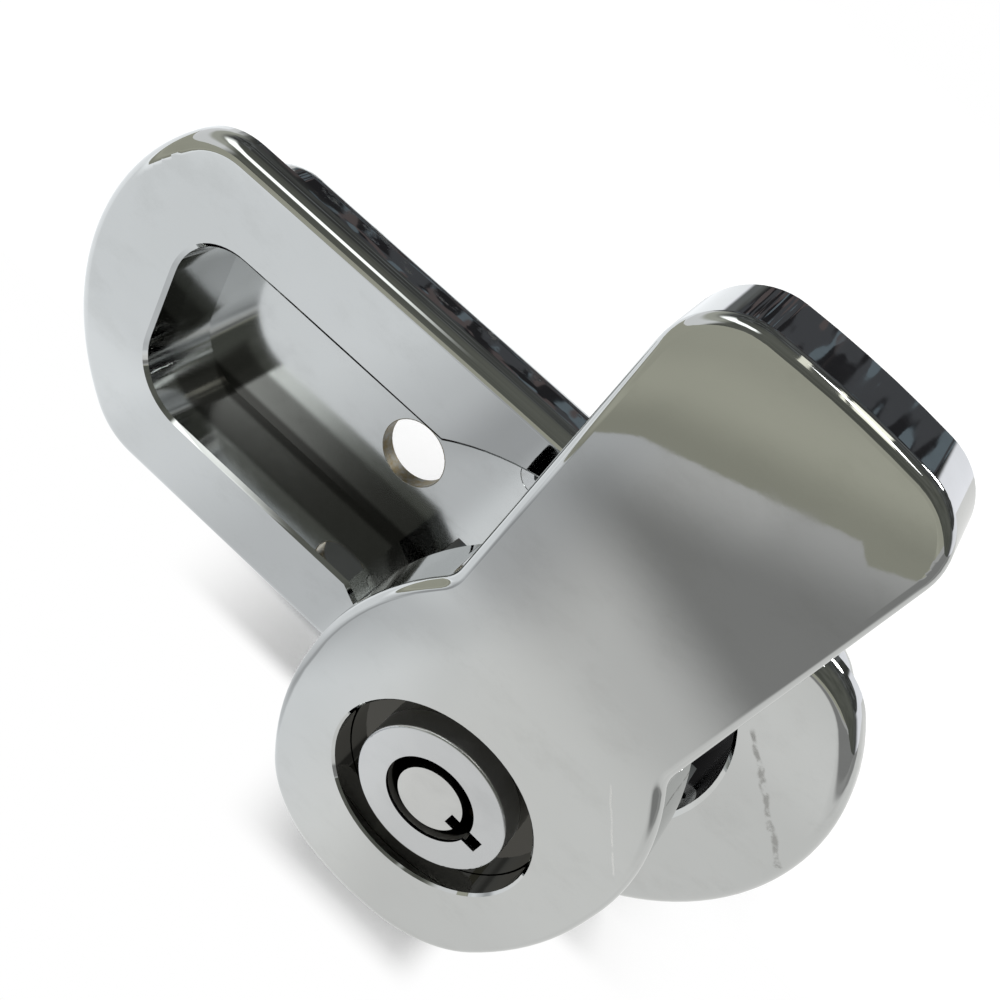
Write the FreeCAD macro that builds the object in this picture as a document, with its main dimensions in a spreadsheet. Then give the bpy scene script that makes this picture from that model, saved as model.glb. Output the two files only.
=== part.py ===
"""Pop-out swing-handle lock for a vending machine door, in millimetres.

The spindle is the Y axis. The door lies in the plane y = 0, the front is towards -Y, and X runs along the
escutcheon. The handle stands out and is turned, so that its arm points up.
"""
import FreeCAD, Part
import math
import os
import Sketcher

Vector = FreeCAD.Vector

# Driving sizes, in millimetres and degrees

SIZES = {
    # Handle, seen from the front with its arm along +Z
    "arm_half": 12.0,
    "arm_length": 57.0,
    "arm_thick": 7.0,
    "arm_end_radius": 90.0,
    "arm_corner": 6.0,
    "hub_half": 17.95,
    "hub_top": 4.5,
    "hub_thick": 9.7,
    "shoulder_radius": 30.2,
    "flank_radius": 35.1,
    "flank_start": 2.5,
    "flank_end": 13.1,
    "cheek_radius": 13.4,
    "hub_end_radius": 24.5,
    "neck_round": 4.0,
    "block_taper_start": 3.0,
    "block_end": 17.9,
    "face_round": 1.0,
    "face_out": 28.3,
    "lean": 2.2,
    # Stem under the hub, and how it runs in the rotor
    "stem_radius": 10.5,
    "stem_flat": 9.7,
    "stem_end": 16.5,
    "stem_play": 0.08,
    "web_front": 7.5,
    "web_back": 5.0,
    "spring_bore": 8.6,
    "ring_groove": 0.55,
    "ring_play": 0.1,
    "ring_reach": 1.5,
    "ring_thick": 1.2,
    "ring_gap": 0.2,
    # Escutcheon
    "plate_half": 23.9,
    "plate_thick": 3.0,
    "plate_hub_end": 33.9,
    "plate_far_end": 73.3,
    "plate_end_radius": 30.5,
    "plate_corner": 10.0,
    "plate_rim": 2.1,
    "slot_gap": 0.8,
    "slot_end_gap": 3.9,
    "slot_corner": 7.7,
    "hub_gap": 0.55,
    "hub_end_gap": 0.7,
    "shoulder_gap": 1.95,
    "floor_gap": 1.3,
    "floor_thick": 2.0,
    "draft": 2.5,
    "mouth_bevel": 0.45,
    "box_wall": 1.8,
    "box_hub_wall": 5.0,
    "box_corner": 8.0,
    "box_round": 3.0,
    "core_wall": 2.0,
    "core_start": 27.0,
    "fixing_place": 28.8,
    "fixing_radius": 4.35,
    "stem_hole_gap": 0.5,
    # Screws that hold the bearing housing
    "screw_x": 15.0,
    "screw_z": 9.75,
    "screw_radius": 1.2,
    "screw_head": 2.3,
    "screw_play": 0.1,
    "socket_radius": 0.75,
    "socket_depth": 0.9,
    # Bearing housing
    "flange_radius": 20.5,
    "flange_half": 17.0,
    "flange_thick": 3.0,
    "barrel_radius": 16.6,
    "barrel_end": 46.8,
    "barrel_bevel": 0.6,
    "run_play": 0.05,
    "side_play": 0.2,
    # Rotor
    "rotor_radius": 14.0,
    "rotor_bore": 12.2,
    "collar_thick": 3.4,
    "rotor_flange": 16.0,
    "rotor_flange_thick": 1.7,
    "stop_radius": 0.8,
    "stop_place": 15.3,
    "stop_angle": 135.0,
    "stop_margin": 4.0,
    "stop_depth": 3.0,
    # Rear end of the rotor
    "washer_thick": 0.5,
    "cap_flange": 15.9,
    "cap_thick": 2.5,
    "spigot": 5.0,
    "cross_pin": 1.0,
    "square": 10.0,
    "square_play": 0.1,
    "cam_thick": 3.0,
    "square_short": 0.2,
    "cam_hub": 10.5,
    "cam_tip": 24.0,
    "cam_tip_half": 7.0,
    "cam_corner": 3.0,
    "stud_radius": 4.0,
    "stud_extra": 2.0,
    "stud_bevel": 0.8,
    "nut_flat": 13.0,
    "nut_thick": 6.5,
    "nut_washer_radius": 8.0,
    "nut_washer_thick": 1.6,
    # Tubular cylinder
    "recess_radius": 11.0,
    "recess_depth": 3.0,
    "recess_bevel": 0.25,
    "head_thick": 3.0,
    "nose_radius": 8.25,
    "nose_below": 0.15,
    "cap_wall": 0.35,
    "cylinder_play": 0.1,
    "keyway_radius": 4.9,
    "post_radius": 3.6,
    "post_below": 0.25,
    "post_notch": 1.5,
    "post_notch_depth": 1.1,
    "face_notch": 1.7,
    "face_notch_reach": 6.4,
    "keyway_depth": 7.0,
    "neck_radius": 3.0,
    "pin_block": 4.1,
    "drum_radius": 6.9,
    "drum_thick": 4.15,
    "pin_radius": 0.6,
    "pin_place": 4.27,
    "pin_below": 3.5,
    "pin_play": 0.05,
    "pin_wall": 0.6,
    "driver_length": 1.75,
    "clip_thick": 0.4,
    "clip_hole": 5.0,
    "clip_bite": 0.3,
    "snap_thick": 0.9,
    "snap_bite": 0.4,
    "dowel_radius": 0.95,
    "dowel_place": 9.6,
    "dowel_half": 1.9,
    # Locking bolt and its crank
    "crank": 1.556,
    "crank_pin": 0.8,
    "crank_play": 0.12,
    "bolt_front": 11.0,
    "bolt_thick": 3.0,
    "bolt_half": 3.45,
    "bolt_reach": 12.0,
    "bolt_tail": 4.8,
    "bolt_play": 0.12,
    "bolt_bevel": 1.4,
    "bolt_spring_radius": 1.2,
    "bolt_spring_wire": 0.35,
    "bolt_spring_sunk": 3.0,
    "seat_gap": 0.02,
    # Pop-out spring
    "spring_radius": 7.4,
    "spring_wire": 1.4,
}

PIN_COUNT = 7
OVER = 1.0  # how far a cutting sketch reaches past the piece that it cuts

doc = FreeCAD.newDocument("vending_lock")
sheet = doc.addObject("Spreadsheet::Sheet", "Sizes")
for row, (alias, number) in enumerate(SIZES.items(), 1):
    sheet.set(f"A{row}", alias)
    sheet.set(f"B{row}", str(number))
    sheet.setAlias(f"B{row}", alias)
doc.recompute()


class Size:
    """A number together with the expression on the sheet that gives it."""

    def __init__(self, number, text):
        self.number = float(number)
        self.text = text

    def __add__(self, other):
        other = as_size(other)
        return Size(self.number + other.number, f"({self.text} + {other.text})")

    def __sub__(self, other):
        other = as_size(other)
        return Size(self.number - other.number, f"({self.text} - {other.text})")

    def __mul__(self, other):
        other = as_size(other)
        return Size(self.number * other.number, f"({self.text} * {other.text})")

    def __truediv__(self, other):
        other = as_size(other)
        return Size(self.number / other.number, f"({self.text} / {other.text})")

    def __neg__(self):
        return Size(-self.number, f"(0 - {self.text})")


def as_size(value):
    if isinstance(value, Size):
        return value
    return Size(value, repr(float(value)))


def root(size):
    return Size(math.sqrt(size.number), f"sqrt({size.text})")


def sine(angle):
    angle = as_size(angle)
    return Size(math.sin(math.radians(angle.number)), f"sin({angle.text})")


def cosine(angle):
    angle = as_size(angle)
    return Size(math.cos(math.radians(angle.number)), f"cos({angle.text})")


class Sheet:
    """The sheet's cells by name."""

    def __getattr__(self, alias):
        return Size(sheet.get(alias), f"Sizes.{alias}")


v = Sheet()


def chord(radius, offset):
    """Half of the chord that lies at an offset from the centre of a circle."""
    return root(radius * radius - offset * offset)


# Places along the spindle that several pieces share

face = -v.face_out
arm_back = face + v.arm_thick
hub_back = face + v.hub_thick
plate_face = -v.plate_thick
floor_front = plate_face + v.hub_thick + v.floor_gap
floor_back = floor_front + v.floor_thick
travel = plate_face - face
head_front = face + v.recess_depth
head_back = head_front + v.head_thick
nose_face = face + v.nose_below
shell_face = nose_face + v.cap_wall
keyway_floor = nose_face + v.keyway_depth
shear = keyway_floor + v.pin_block
drum_front = shear + v.cylinder_play
drum_back = drum_front + v.drum_thick
clip_front = drum_back + v.run_play
clip_back = clip_front + v.clip_thick
shell_back = clip_back + v.clip_thick
bolt_front = -v.bolt_front
bolt_back = bolt_front + v.bolt_thick
flange_back = floor_back + v.flange_thick
rotor_front = floor_back + v.side_play
rotor_flange_back = rotor_front + v.rotor_flange_thick
shoulder = rotor_flange_back + v.side_play
collar_back = rotor_front + v.collar_thick
ring_front = collar_back + v.ring_gap
cap_front = v.barrel_end + v.washer_thick + v.run_play + v.run_play
cap_back = cap_front + v.cap_thick
spigot_front = cap_front - v.spigot
square_end = cap_back + v.cam_thick - v.square_short
cam_back = cap_back + v.cam_thick
nut_front = cam_back + v.nut_washer_thick
nut_back = nut_front + v.nut_thick
stud_end = nut_back + v.stud_extra

# The hub's outline below the shoulders: a flank, a cheek and the end, arcs that run on into each other

flank_side = v.hub_half - v.flank_radius
flank_drop = v.flank_start + v.flank_end
flank_foot = flank_side + chord(v.flank_radius, flank_drop)
cheek_share = (v.flank_radius - v.cheek_radius) / v.flank_radius
cheek_side = flank_side + (flank_foot - flank_side) * cheek_share
cheek_height = v.flank_start - flank_drop * cheek_share
end_height = cheek_height + chord(v.hub_end_radius - v.cheek_radius, cheek_side)
end_share = v.hub_end_radius / (v.hub_end_radius - v.cheek_radius)
end_side = cheek_side * end_share
end_foot = end_height + (cheek_height - end_height) * end_share
hub_low = v.hub_end_radius - end_height

# Sizes of the pocket, which follow the handle that drops into it

slot_half = v.arm_half + v.slot_gap
slot_far = v.arm_length + v.slot_end_gap
pocket_hub_half = v.hub_half + v.hub_gap
pocket_hub_end = hub_low + v.hub_end_gap
pocket_hub_shift = pocket_hub_end - pocket_hub_half
pocket_depth = v.hub_thick + v.floor_gap

# The handle's shoulders: arcs that lead from the hub's flanks to the arm

shoulder_side = v.hub_half - v.shoulder_radius
arm_start = v.hub_top + chord(v.shoulder_radius, v.arm_half - shoulder_side)
block_half = shoulder_side + chord(v.shoulder_radius, v.block_end - v.hub_top)


# Helpers for bodies, sketches and features

def new_body(label):
    body = doc.addObject("PartDesign::Body", label)
    body.Label = label
    return body


def plane_of(body, role):
    for item in body.Origin.OriginFeatures:
        if item.Role == role:
            return item
    raise ValueError(role)


def new_sketch(body, name, role="XZ_Plane", offset=None):
    """A sketch on one of the body's planes. On XZ_Plane the offset is the place along Y."""
    sketch = body.newObject("Sketcher::SketchObject", name)
    sketch.AttachmentSupport = (plane_of(body, role), [""])
    sketch.MapMode = "FlatFace"
    if offset is not None:
        along = -offset if role == "XZ_Plane" else offset
        sketch.setExpression("AttachmentOffset.Base.z", along.text)
    return sketch


def hold(sketch, kind, geometry, place, value):
    """Fixes one coordinate of a point to a value, or to the axis where the value is zero."""
    if not isinstance(value, Size) and value == 0:
        axis = -2 if kind == "DistanceX" else -1
        sketch.addConstraint(Sketcher.Constraint("PointOnObject", geometry, place, axis))
        return
    size = as_size(value)
    number = sketch.addConstraint(Sketcher.Constraint(kind, -1, 1, geometry, place, size.number))
    sketch.setExpression(f"Constraints[{number}]", size.text)


def outline(sketch, points, arcs=None):
    """A closed outline. arcs gives, for an edge's number, its centre and 1 or -1 for its way round."""
    arcs = arcs or {}
    count = len(points)
    spots = [Vector(as_size(x).number, as_size(y).number, 0) for x, y in points]
    ends = []
    for index in range(count):
        start = spots[index]
        stop = spots[(index + 1) % count]
        if index not in arcs:
            geometry = sketch.addGeometry(Part.LineSegment(start, stop))
            ends.append(((geometry, 1), (geometry, 2)))
            continue
        (centre_x, centre_y), way = arcs[index]
        centre = Vector(as_size(centre_x).number, as_size(centre_y).number, 0)
        circle = Part.Circle(centre, Vector(0, 0, 1), (start - centre).Length)
        first, last = (start, stop) if way > 0 else (stop, start)
        angles = [math.atan2(spot.y - centre.y, spot.x - centre.x) for spot in (first, last)]
        if angles[1] <= angles[0]:
            angles[1] += 2 * math.pi
        geometry = sketch.addGeometry(Part.ArcOfCircle(circle, angles[0], angles[1]))
        hold(sketch, "DistanceX", geometry, 3, centre_x)
        hold(sketch, "DistanceY", geometry, 3, centre_y)
        ends.append(((geometry, 1), (geometry, 2)) if way > 0 else ((geometry, 2), (geometry, 1)))
    for index in range(count):
        before = ends[index - 1][1]
        after = ends[index][0]
        sketch.addConstraint(Sketcher.Constraint("Coincident", before[0], before[1], after[0], after[1]))
        x, y = points[index]
        previous = (index - 1) % count
        if previous not in arcs:
            hold(sketch, "DistanceX", after[0], after[1], x)
            hold(sketch, "DistanceY", after[0], after[1], y)
            continue
        (centre_x, centre_y), way = arcs[previous]
        across = abs(as_size(x).number - as_size(centre_x).number)
        up = abs(as_size(y).number - as_size(centre_y).number)
        if across > up:
            hold(sketch, "DistanceY", after[0], after[1], y)
        else:
            hold(sketch, "DistanceX", after[0], after[1], x)
    return sketch


def circle(sketch, x, y, radius):
    spot = Vector(as_size(x).number, as_size(y).number, 0)
    geometry = sketch.addGeometry(Part.Circle(spot, Vector(0, 0, 1), radius.number))
    hold(sketch, "DistanceX", geometry, 3, x)
    hold(sketch, "DistanceY", geometry, 3, y)
    number = sketch.addConstraint(Sketcher.Constraint("Radius", geometry, radius.number))
    sketch.setExpression(f"Constraints[{number}]", radius.text)
    return sketch


def box_outline(sketch, left, right, low, high):
    return outline(sketch, [(left, low), (right, low), (right, high), (left, high)])


def rounded_box(sketch, left, right, half, radius):
    """A rectangle that is symmetric about the X axis, with round corners."""
    inner = half - radius
    points = [
        (left + radius, -half),
        (right - radius, -half),
        (right, -inner),
        (right, inner),
        (right - radius, half),
        (left + radius, half),
        (left, inner),
        (left, -inner),
    ]
    centres = {
        1: (right - radius, -inner),
        3: (right - radius, inner),
        5: (left + radius, inner),
        7: (left + radius, -inner),
    }
    return outline(sketch, points, {edge: (centre, 1) for edge, centre in centres.items()})


def double_flat(sketch, radius, flat):
    """A circle with two flats that face along X."""
    half = chord(radius, flat)
    points = [(flat, -half), (flat, half), (-flat, half), (-flat, -half)]
    return outline(sketch, points, {1: ((0, 0), 1), 3: ((0, 0), 1)})


def pad(body, sketch, length, back=False):
    """A pad of a sketch on XZ_Plane. It grows towards the front, or towards the back."""
    feature = body.newObject("PartDesign::Pad", sketch.Name + "_pad")
    feature.Profile = sketch
    feature.setExpression("Length", length.text)
    feature.Reversed = back
    return feature


def pocket(body, sketch, length=None, front=False, both=False):
    """A pocket of a sketch on XZ_Plane. It cuts towards the back, or towards the front."""
    feature = body.newObject("PartDesign::Pocket", sketch.Name + "_cut")
    feature.Profile = sketch
    feature.Reversed = front
    feature.Midplane = both
    if length is None:
        feature.Type = "ThroughAll"
    else:
        feature.setExpression("Length", length.text)
    return feature


def spin(body, sketch, kind="Revolution", angle=360.0):
    """A revolution or a groove about the spindle, from a sketch on XY_Plane."""
    feature = body.newObject(f"PartDesign::{kind}", sketch.Name + "_spin")
    feature.Profile = sketch
    feature.ReferenceAxis = (sketch, ["V_Axis"])
    feature.Angle = angle
    return feature


def turned_piece(label, points, angle=360.0):
    """A body turned about the spindle from radius and place pairs."""
    body = new_body(label)
    sketch = new_sketch(body, label + "_profile", "XY_Plane")
    outline(sketch, points)
    spin(body, sketch, "Revolution", angle)
    return body


def ring_points(inner, outer, front, back):
    return [(inner, front), (outer, front), (outer, back), (inner, back)]


def choose(feature, test):
    """The names of a feature's edges whose middle and ends meet a test."""
    doc.recompute()
    names = []
    for number, edge in enumerate(feature.Shape.Edges, 1):
        first, last = edge.FirstParameter, edge.LastParameter
        spots = [edge.valueAt(first + (last - first) * share) for share in (0.02, 0.5, 0.98)]
        if test(spots):
            names.append(f"Edge{number}")
    if not names:
        raise ValueError(f"no edge found on {feature.Name}")
    return names


def runs_along_y(spots):
    return (spots[0] - spots[2]).cross(Vector(0, 1, 0)).Length < 1e-6


def lies_at(spots, place):
    return all(abs(spot.y - place.number) < 1e-5 for spot in spots)


def lies_beyond(spots, place, radius):
    """True for an edge in the plane y = place whose middle is farther from the spindle than a radius."""
    return lies_at(spots, place) and math.hypot(spots[1].x, spots[1].z) > radius.number


def near(spots, x, z, reach=0.6):
    return math.hypot(spots[1].x - as_size(x).number, spots[1].z - as_size(z).number) < reach


def dress(body, kind, name, feature, edges, size):
    """A fillet or a chamfer on the named edges."""
    result = body.newObject(f"PartDesign::{kind}", name)
    result.Base = (feature, edges)
    result.setExpression("Radius" if kind == "Fillet" else "Size", size.text)
    return result


def bar(name, x, z, front, back, radius):
    """A plain round bar parallel to the spindle."""
    solid = doc.addObject("Part::Cylinder", name)
    solid.setExpression("Radius", radius.text)
    solid.setExpression("Height", (back - front).text)
    solid.Placement = FreeCAD.Placement(Vector(0, 0, 0), FreeCAD.Rotation(Vector(1, 0, 0), -90))
    solid.setExpression("Placement.Base.x", as_size(x).text)
    solid.setExpression("Placement.Base.y", front.text)
    solid.setExpression("Placement.Base.z", as_size(z).text)
    return solid


def group(label, pieces):
    compound = doc.addObject("Part::Compound", label)
    compound.Label = label
    compound.Links = pieces
    return compound


def lean(item):
    """Turns a piece with the handle, about the spindle."""
    item.Placement = FreeCAD.Placement(Vector(0, 0, 0), FreeCAD.Rotation(Vector(0, 1, 0), SIZES["lean"]))
    item.setExpression("Placement.Rotation.Angle", v.lean.text)
    return item


nodes = []


# Escutcheon: plate, box behind it and the pocket that takes the handle

escutcheon = new_body("escutcheon")
hub_centre = v.plate_hub_end - v.plate_end_radius
far_centre = v.plate_end_radius - v.plate_far_end
end_run = chord(v.plate_end_radius, v.plate_half)
plate_sketch = new_sketch(escutcheon, "plate")
outline(
    plate_sketch,
    [
        (far_centre - end_run, -v.plate_half),
        (hub_centre + end_run, -v.plate_half),
        (hub_centre + end_run, v.plate_half),
        (far_centre - end_run, v.plate_half),
    ],
    {1: ((hub_centre, 0), 1), 3: ((far_centre, 0), 1)},
)
plate = pad(escutcheon, plate_sketch, v.plate_thick)
corner_edges = choose(plate, runs_along_y)
corners = dress(escutcheon, "Fillet", "plate_corners", plate, corner_edges, v.plate_corner)
rim_edges = choose(corners, lambda spots: lies_at(spots, plate_face))
rim = dress(escutcheon, "Fillet", "plate_rim_round", corners, rim_edges, v.plate_rim)

box_half = pocket_hub_half + v.box_wall
box_far = slot_far + v.box_wall
box_end = pocket_hub_end + v.box_hub_wall
box_sketch = new_sketch(escutcheon, "box")
rounded_box(box_sketch, -box_far, box_end, box_half, v.box_corner)
box = pad(escutcheon, box_sketch, floor_back, back=True)
back_edges = choose(box, lambda spots: lies_at(spots, floor_back))
box_back = dress(escutcheon, "Fillet", "box_back_round", box, back_edges, v.box_round)

pocket_sketch = new_sketch(escutcheon, "handle_pocket", offset=plate_face)
pocket_neck = v.hub_top + v.shoulder_gap
pocket_corner = pocket_neck + chord(v.shoulder_radius + v.hub_gap, slot_half - shoulder_side)
outline(
    pocket_sketch,
    [
        (-slot_far, -slot_half),
        (-pocket_corner, -slot_half),
        (-pocket_neck, -pocket_hub_half),
        (pocket_hub_shift, -pocket_hub_half),
        (pocket_hub_shift, pocket_hub_half),
        (-pocket_neck, pocket_hub_half),
        (-pocket_corner, slot_half),
        (-slot_far, slot_half),
    ],
    {
        1: ((-pocket_neck, -shoulder_side), 1),
        3: ((pocket_hub_shift, 0), 1),
        5: ((-pocket_neck, shoulder_side), 1),
    },
)
handle_pocket = pocket(escutcheon, pocket_sketch, pocket_depth)
handle_pocket.setExpression("TaperAngle", (-v.draft).text)
end_edges = choose(
    handle_pocket,
    lambda spots: near(spots, -slot_far, slot_half, 1.5) or near(spots, -slot_far, -slot_half, 1.5),
)
slot_corners = dress(escutcheon, "Fillet", "slot_corners", handle_pocket, end_edges, v.slot_corner)


def on_pocket_mouth(spots):
    """True for an edge where the pocket's walls meet the plate's face."""
    middle = spots[1]
    inside = -slot_far.number - 0.1 < middle.x < pocket_hub_end.number + 0.1
    return lies_at(spots, plate_face) and inside and abs(middle.z) < pocket_hub_half.number + 0.1


mouth_edges = choose(slot_corners, on_pocket_mouth)
dress(escutcheon, "Chamfer", "pocket_mouth_bevel", slot_corners, mouth_edges, v.mouth_bevel)

core_sketch = new_sketch(escutcheon, "rear_cores", offset=floor_back)
core_inner = slot_half + v.core_wall
core_outer = box_half - v.core_wall
core_radius = (core_outer - core_inner) * 0.5
core_left = -box_far + v.box_corner
for side in (1, -1):
    middle = (core_outer + core_inner) * 0.5 * side
    low = middle - core_radius
    high = middle + core_radius
    outline(
        core_sketch,
        [(core_left, low), (-v.core_start, low), (-v.core_start, high), (core_left, high)],
        {1: ((-v.core_start, middle), 1), 3: ((core_left, middle), 1)},
    )
pocket(escutcheon, core_sketch, floor_back, front=True)

hole_sketch = new_sketch(escutcheon, "floor_holes", offset=floor_front)
circle(hole_sketch, 0, 0, v.stem_radius + v.stem_hole_gap)
circle(hole_sketch, -v.fixing_place, 0, v.fixing_radius)
floor_holes = pocket(escutcheon, hole_sketch)

screw_spots = [(x, z) for x in (-v.screw_x, v.screw_x) for z in (-v.screw_z, v.screw_z)]
sink_sketch = new_sketch(escutcheon, "screw_holes", offset=floor_front)
for x, z in screw_spots:
    circle(sink_sketch, x, z, v.screw_radius + v.screw_play)
doc.recompute()
sinks = escutcheon.newObject("PartDesign::Hole", "countersinks")
sinks.Profile = sink_sketch
sinks.DepthType = "ThroughAll"
sinks.setExpression("Diameter", ((v.screw_radius + v.screw_play) * 2).text)
sinks.HoleCutType = "Countersink"
sinks.HoleCutCustomValues = True
sinks.setExpression("HoleCutDiameter", ((v.screw_head + v.screw_play) * 2).text)
sinks.HoleCutCountersinkAngle = 90
escutcheon.Tip = sinks
nodes.append(escutcheon)


# Handle: arm, hub block and stem

handle = new_body("handle")
arm_end_centre = v.arm_length - v.arm_end_radius
arm_shoulder = arm_end_centre + chord(v.arm_end_radius, v.arm_half)


def hub_outline(sketch, upper, upper_centres):
    """The hub's outline, closed by upper points that run from its right flank to its left one.

    upper_centres gives the centre of each upper edge that is an arc.
    """
    right = [
        (-end_side, end_foot),
        (end_side, end_foot),
        (flank_foot, -v.flank_end),
        (v.hub_half, v.flank_start),
    ]
    left = [(-v.hub_half, v.flank_start), (-flank_foot, -v.flank_end)]
    centres = {
        0: (0, end_height),
        1: (cheek_side, cheek_height),
        2: (flank_side, v.flank_start),
        len(right) + len(upper): (-flank_side, v.flank_start),
        len(right) + len(upper) + 1: (-cheek_side, cheek_height),
    }
    for edge, centre in upper_centres.items():
        centres[len(right) + edge] = centre
    outline(sketch, right + upper + left, {edge: (centre, 1) for edge, centre in centres.items()})


arm_sketch = new_sketch(handle, "arm", offset=arm_back)
hub_outline(
    arm_sketch,
    [
        (v.hub_half, v.hub_top),
        (v.arm_half, arm_start),
        (v.arm_half, arm_shoulder),
        (-v.arm_half, arm_shoulder),
        (-v.arm_half, arm_start),
        (-v.hub_half, v.hub_top),
    ],
    {0: (shoulder_side, v.hub_top), 2: (0, arm_end_centre), 4: (-shoulder_side, v.hub_top)},
)
arm = pad(handle, arm_sketch, v.arm_thick)


def upright_at(spots, x, z):
    """True for an edge parallel to the spindle that stands at x and z, or at its mirror place."""
    return runs_along_y(spots) and (near(spots, x, z) or near(spots, -x, z))


tip_edges = choose(arm, lambda spots: upright_at(spots, v.arm_half, arm_shoulder))
arm_corners = dress(handle, "Fillet", "arm_corners", arm, tip_edges, v.arm_corner)
block_sketch = new_sketch(handle, "hub_block", offset=hub_back)
hub_outline(
    block_sketch,
    [
        (v.hub_half, v.block_taper_start),
        (block_half, v.block_end),
        (-block_half, v.block_end),
        (-v.hub_half, v.block_taper_start),
    ],
    {},
)
block = pad(handle, block_sketch, v.hub_thick - v.arm_thick)
neck_edges = choose(block, lambda spots: upright_at(spots, v.arm_half, arm_start))
necks = dress(handle, "Fillet", "neck_rounds", block, neck_edges, v.neck_round)

stem_sketch = new_sketch(handle, "stem", offset=hub_back)
double_flat(stem_sketch, v.stem_radius, v.stem_flat)
stem = pad(handle, stem_sketch, v.stem_end - hub_back, back=True)

ring_sketch = new_sketch(handle, "ring_groove_profile", "XY_Plane")
ring_back = ring_front + v.ring_thick
outline(
    ring_sketch,
    ring_points(
        v.stem_radius - v.ring_groove,
        v.stem_radius + OVER,
        ring_front - v.ring_play,
        ring_back + v.ring_play,
    ),
)
spin(handle, ring_sketch, "Groove")

front_sketch = new_sketch(handle, "cylinder_seat", "XY_Plane")
cylinder_bore = v.nose_radius + v.cylinder_play
snap_front = drum_back - v.snap_thick
outline(
    front_sketch,
    [
        (0, face),
        (v.recess_radius, face),
        (v.recess_radius, head_back),
        (cylinder_bore, head_back),
        (cylinder_bore, snap_front - v.run_play),
        (cylinder_bore + v.snap_bite + v.ring_play, snap_front - v.run_play),
        (cylinder_bore + v.snap_bite + v.ring_play, drum_back + v.run_play),
        (cylinder_bore, drum_back + v.run_play),
        (cylinder_bore, -v.web_front),
        (0, -v.web_front),
    ],
)
spin(handle, front_sketch, "Groove")

rear_sketch = new_sketch(handle, "spring_bore_profile", "XY_Plane")
outline(rear_sketch, ring_points(0, v.spring_bore, -v.web_back, v.stem_end))
spin(handle, rear_sketch, "Groove")

bolt_way = new_sketch(handle, "bolt_way", "XY_Plane")
way_half = v.bolt_half + v.bolt_play
box_outline(bolt_way, -way_half, way_half, bolt_front - v.bolt_play, bolt_back + v.bolt_play)
pocket(handle, bolt_way, v.bolt_reach + OVER)

dowel_sketch = new_sketch(handle, "dowel_hole", offset=head_back)
circle(dowel_sketch, 0, v.dowel_place, v.dowel_radius + v.run_play)
dowel_depth = v.dowel_half + v.ring_play
dowel_cut = pocket(handle, dowel_sketch, dowel_depth)


def beyond_recess(spots):
    """True for an edge of the face that lies outside the cylinder's recess."""
    return lies_beyond(spots, face, v.recess_radius + v.recess_bevel)


face_edges = choose(dowel_cut, beyond_recess)
handle_face = dress(handle, "Fillet", "face_edge", dowel_cut, face_edges, v.face_round)
recess_edge = choose(handle_face, lambda spots: lies_at(spots, face) and not beyond_recess(spots))
recess_mouth = dress(handle, "Chamfer", "recess_mouth", handle_face, recess_edge, v.recess_bevel)
nodes.append(lean(handle))


# Tubular cylinder: shell, face cap, plug, pins and clips

shell = new_body("lock_shell")
nose_wall = v.nose_radius - v.cap_wall
shell_profile = new_sketch(shell, "shell_profile", "XY_Plane")
outline(
    shell_profile,
    [
        (v.keyway_radius, shell_face),
        (nose_wall, shell_face),
        (nose_wall, head_front),
        (v.recess_radius - v.cylinder_play, head_front),
        (v.recess_radius - v.cylinder_play, head_back),
        (v.nose_radius, head_back),
        (v.nose_radius, snap_front - v.run_play),
        (v.nose_radius - v.snap_bite, snap_front - v.run_play),
        (v.nose_radius - v.snap_bite, drum_back + v.run_play),
        (v.nose_radius, drum_back + v.run_play),
        (v.nose_radius, shell_back),
        (v.drum_radius + v.cylinder_play, shell_back),
        (v.drum_radius + v.cylinder_play, shear),
        (v.neck_radius + v.run_play, shear),
        (v.neck_radius + v.run_play, keyway_floor),
        (v.keyway_radius, keyway_floor),
    ],
)
spin(shell, shell_profile)
clip_groove = new_sketch(shell, "clip_groove", "XY_Plane")
clip_outer = v.drum_radius + v.cylinder_play + v.clip_bite
outline(clip_groove, ring_points(v.drum_radius, clip_outer + 0.05, clip_front, clip_back + v.run_play))
spin(shell, clip_groove, "Groove")
shell_notch = new_sketch(shell, "shell_notch", offset=shell_face)
box_outline(shell_notch, v.keyway_radius - OVER, v.face_notch_reach, -v.face_notch / 2, v.face_notch / 2)
pocket(shell, shell_notch, keyway_floor - shell_face)
shell_dowel = new_sketch(shell, "shell_dowel", offset=head_back)
circle(shell_dowel, 0, v.dowel_place, v.dowel_radius + v.run_play)
pocket(shell, shell_dowel, dowel_depth, front=True)
pin_hole = new_sketch(shell, "pin_hole", offset=keyway_floor)
circle(pin_hole, 0, v.pin_place, v.pin_radius + v.pin_play)
pin_cut = pocket(shell, pin_hole, v.pin_block)
pin_pattern = shell.newObject("PartDesign::PolarPattern", "shell_pin_pattern")
pin_pattern.Originals = [pin_cut]
pin_pattern.Axis = (pin_hole, ["N_Axis"])
pin_pattern.Angle = 360
pin_pattern.Occurrences = PIN_COUNT
shell.Tip = pin_pattern
nodes.append(lean(shell))

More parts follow.
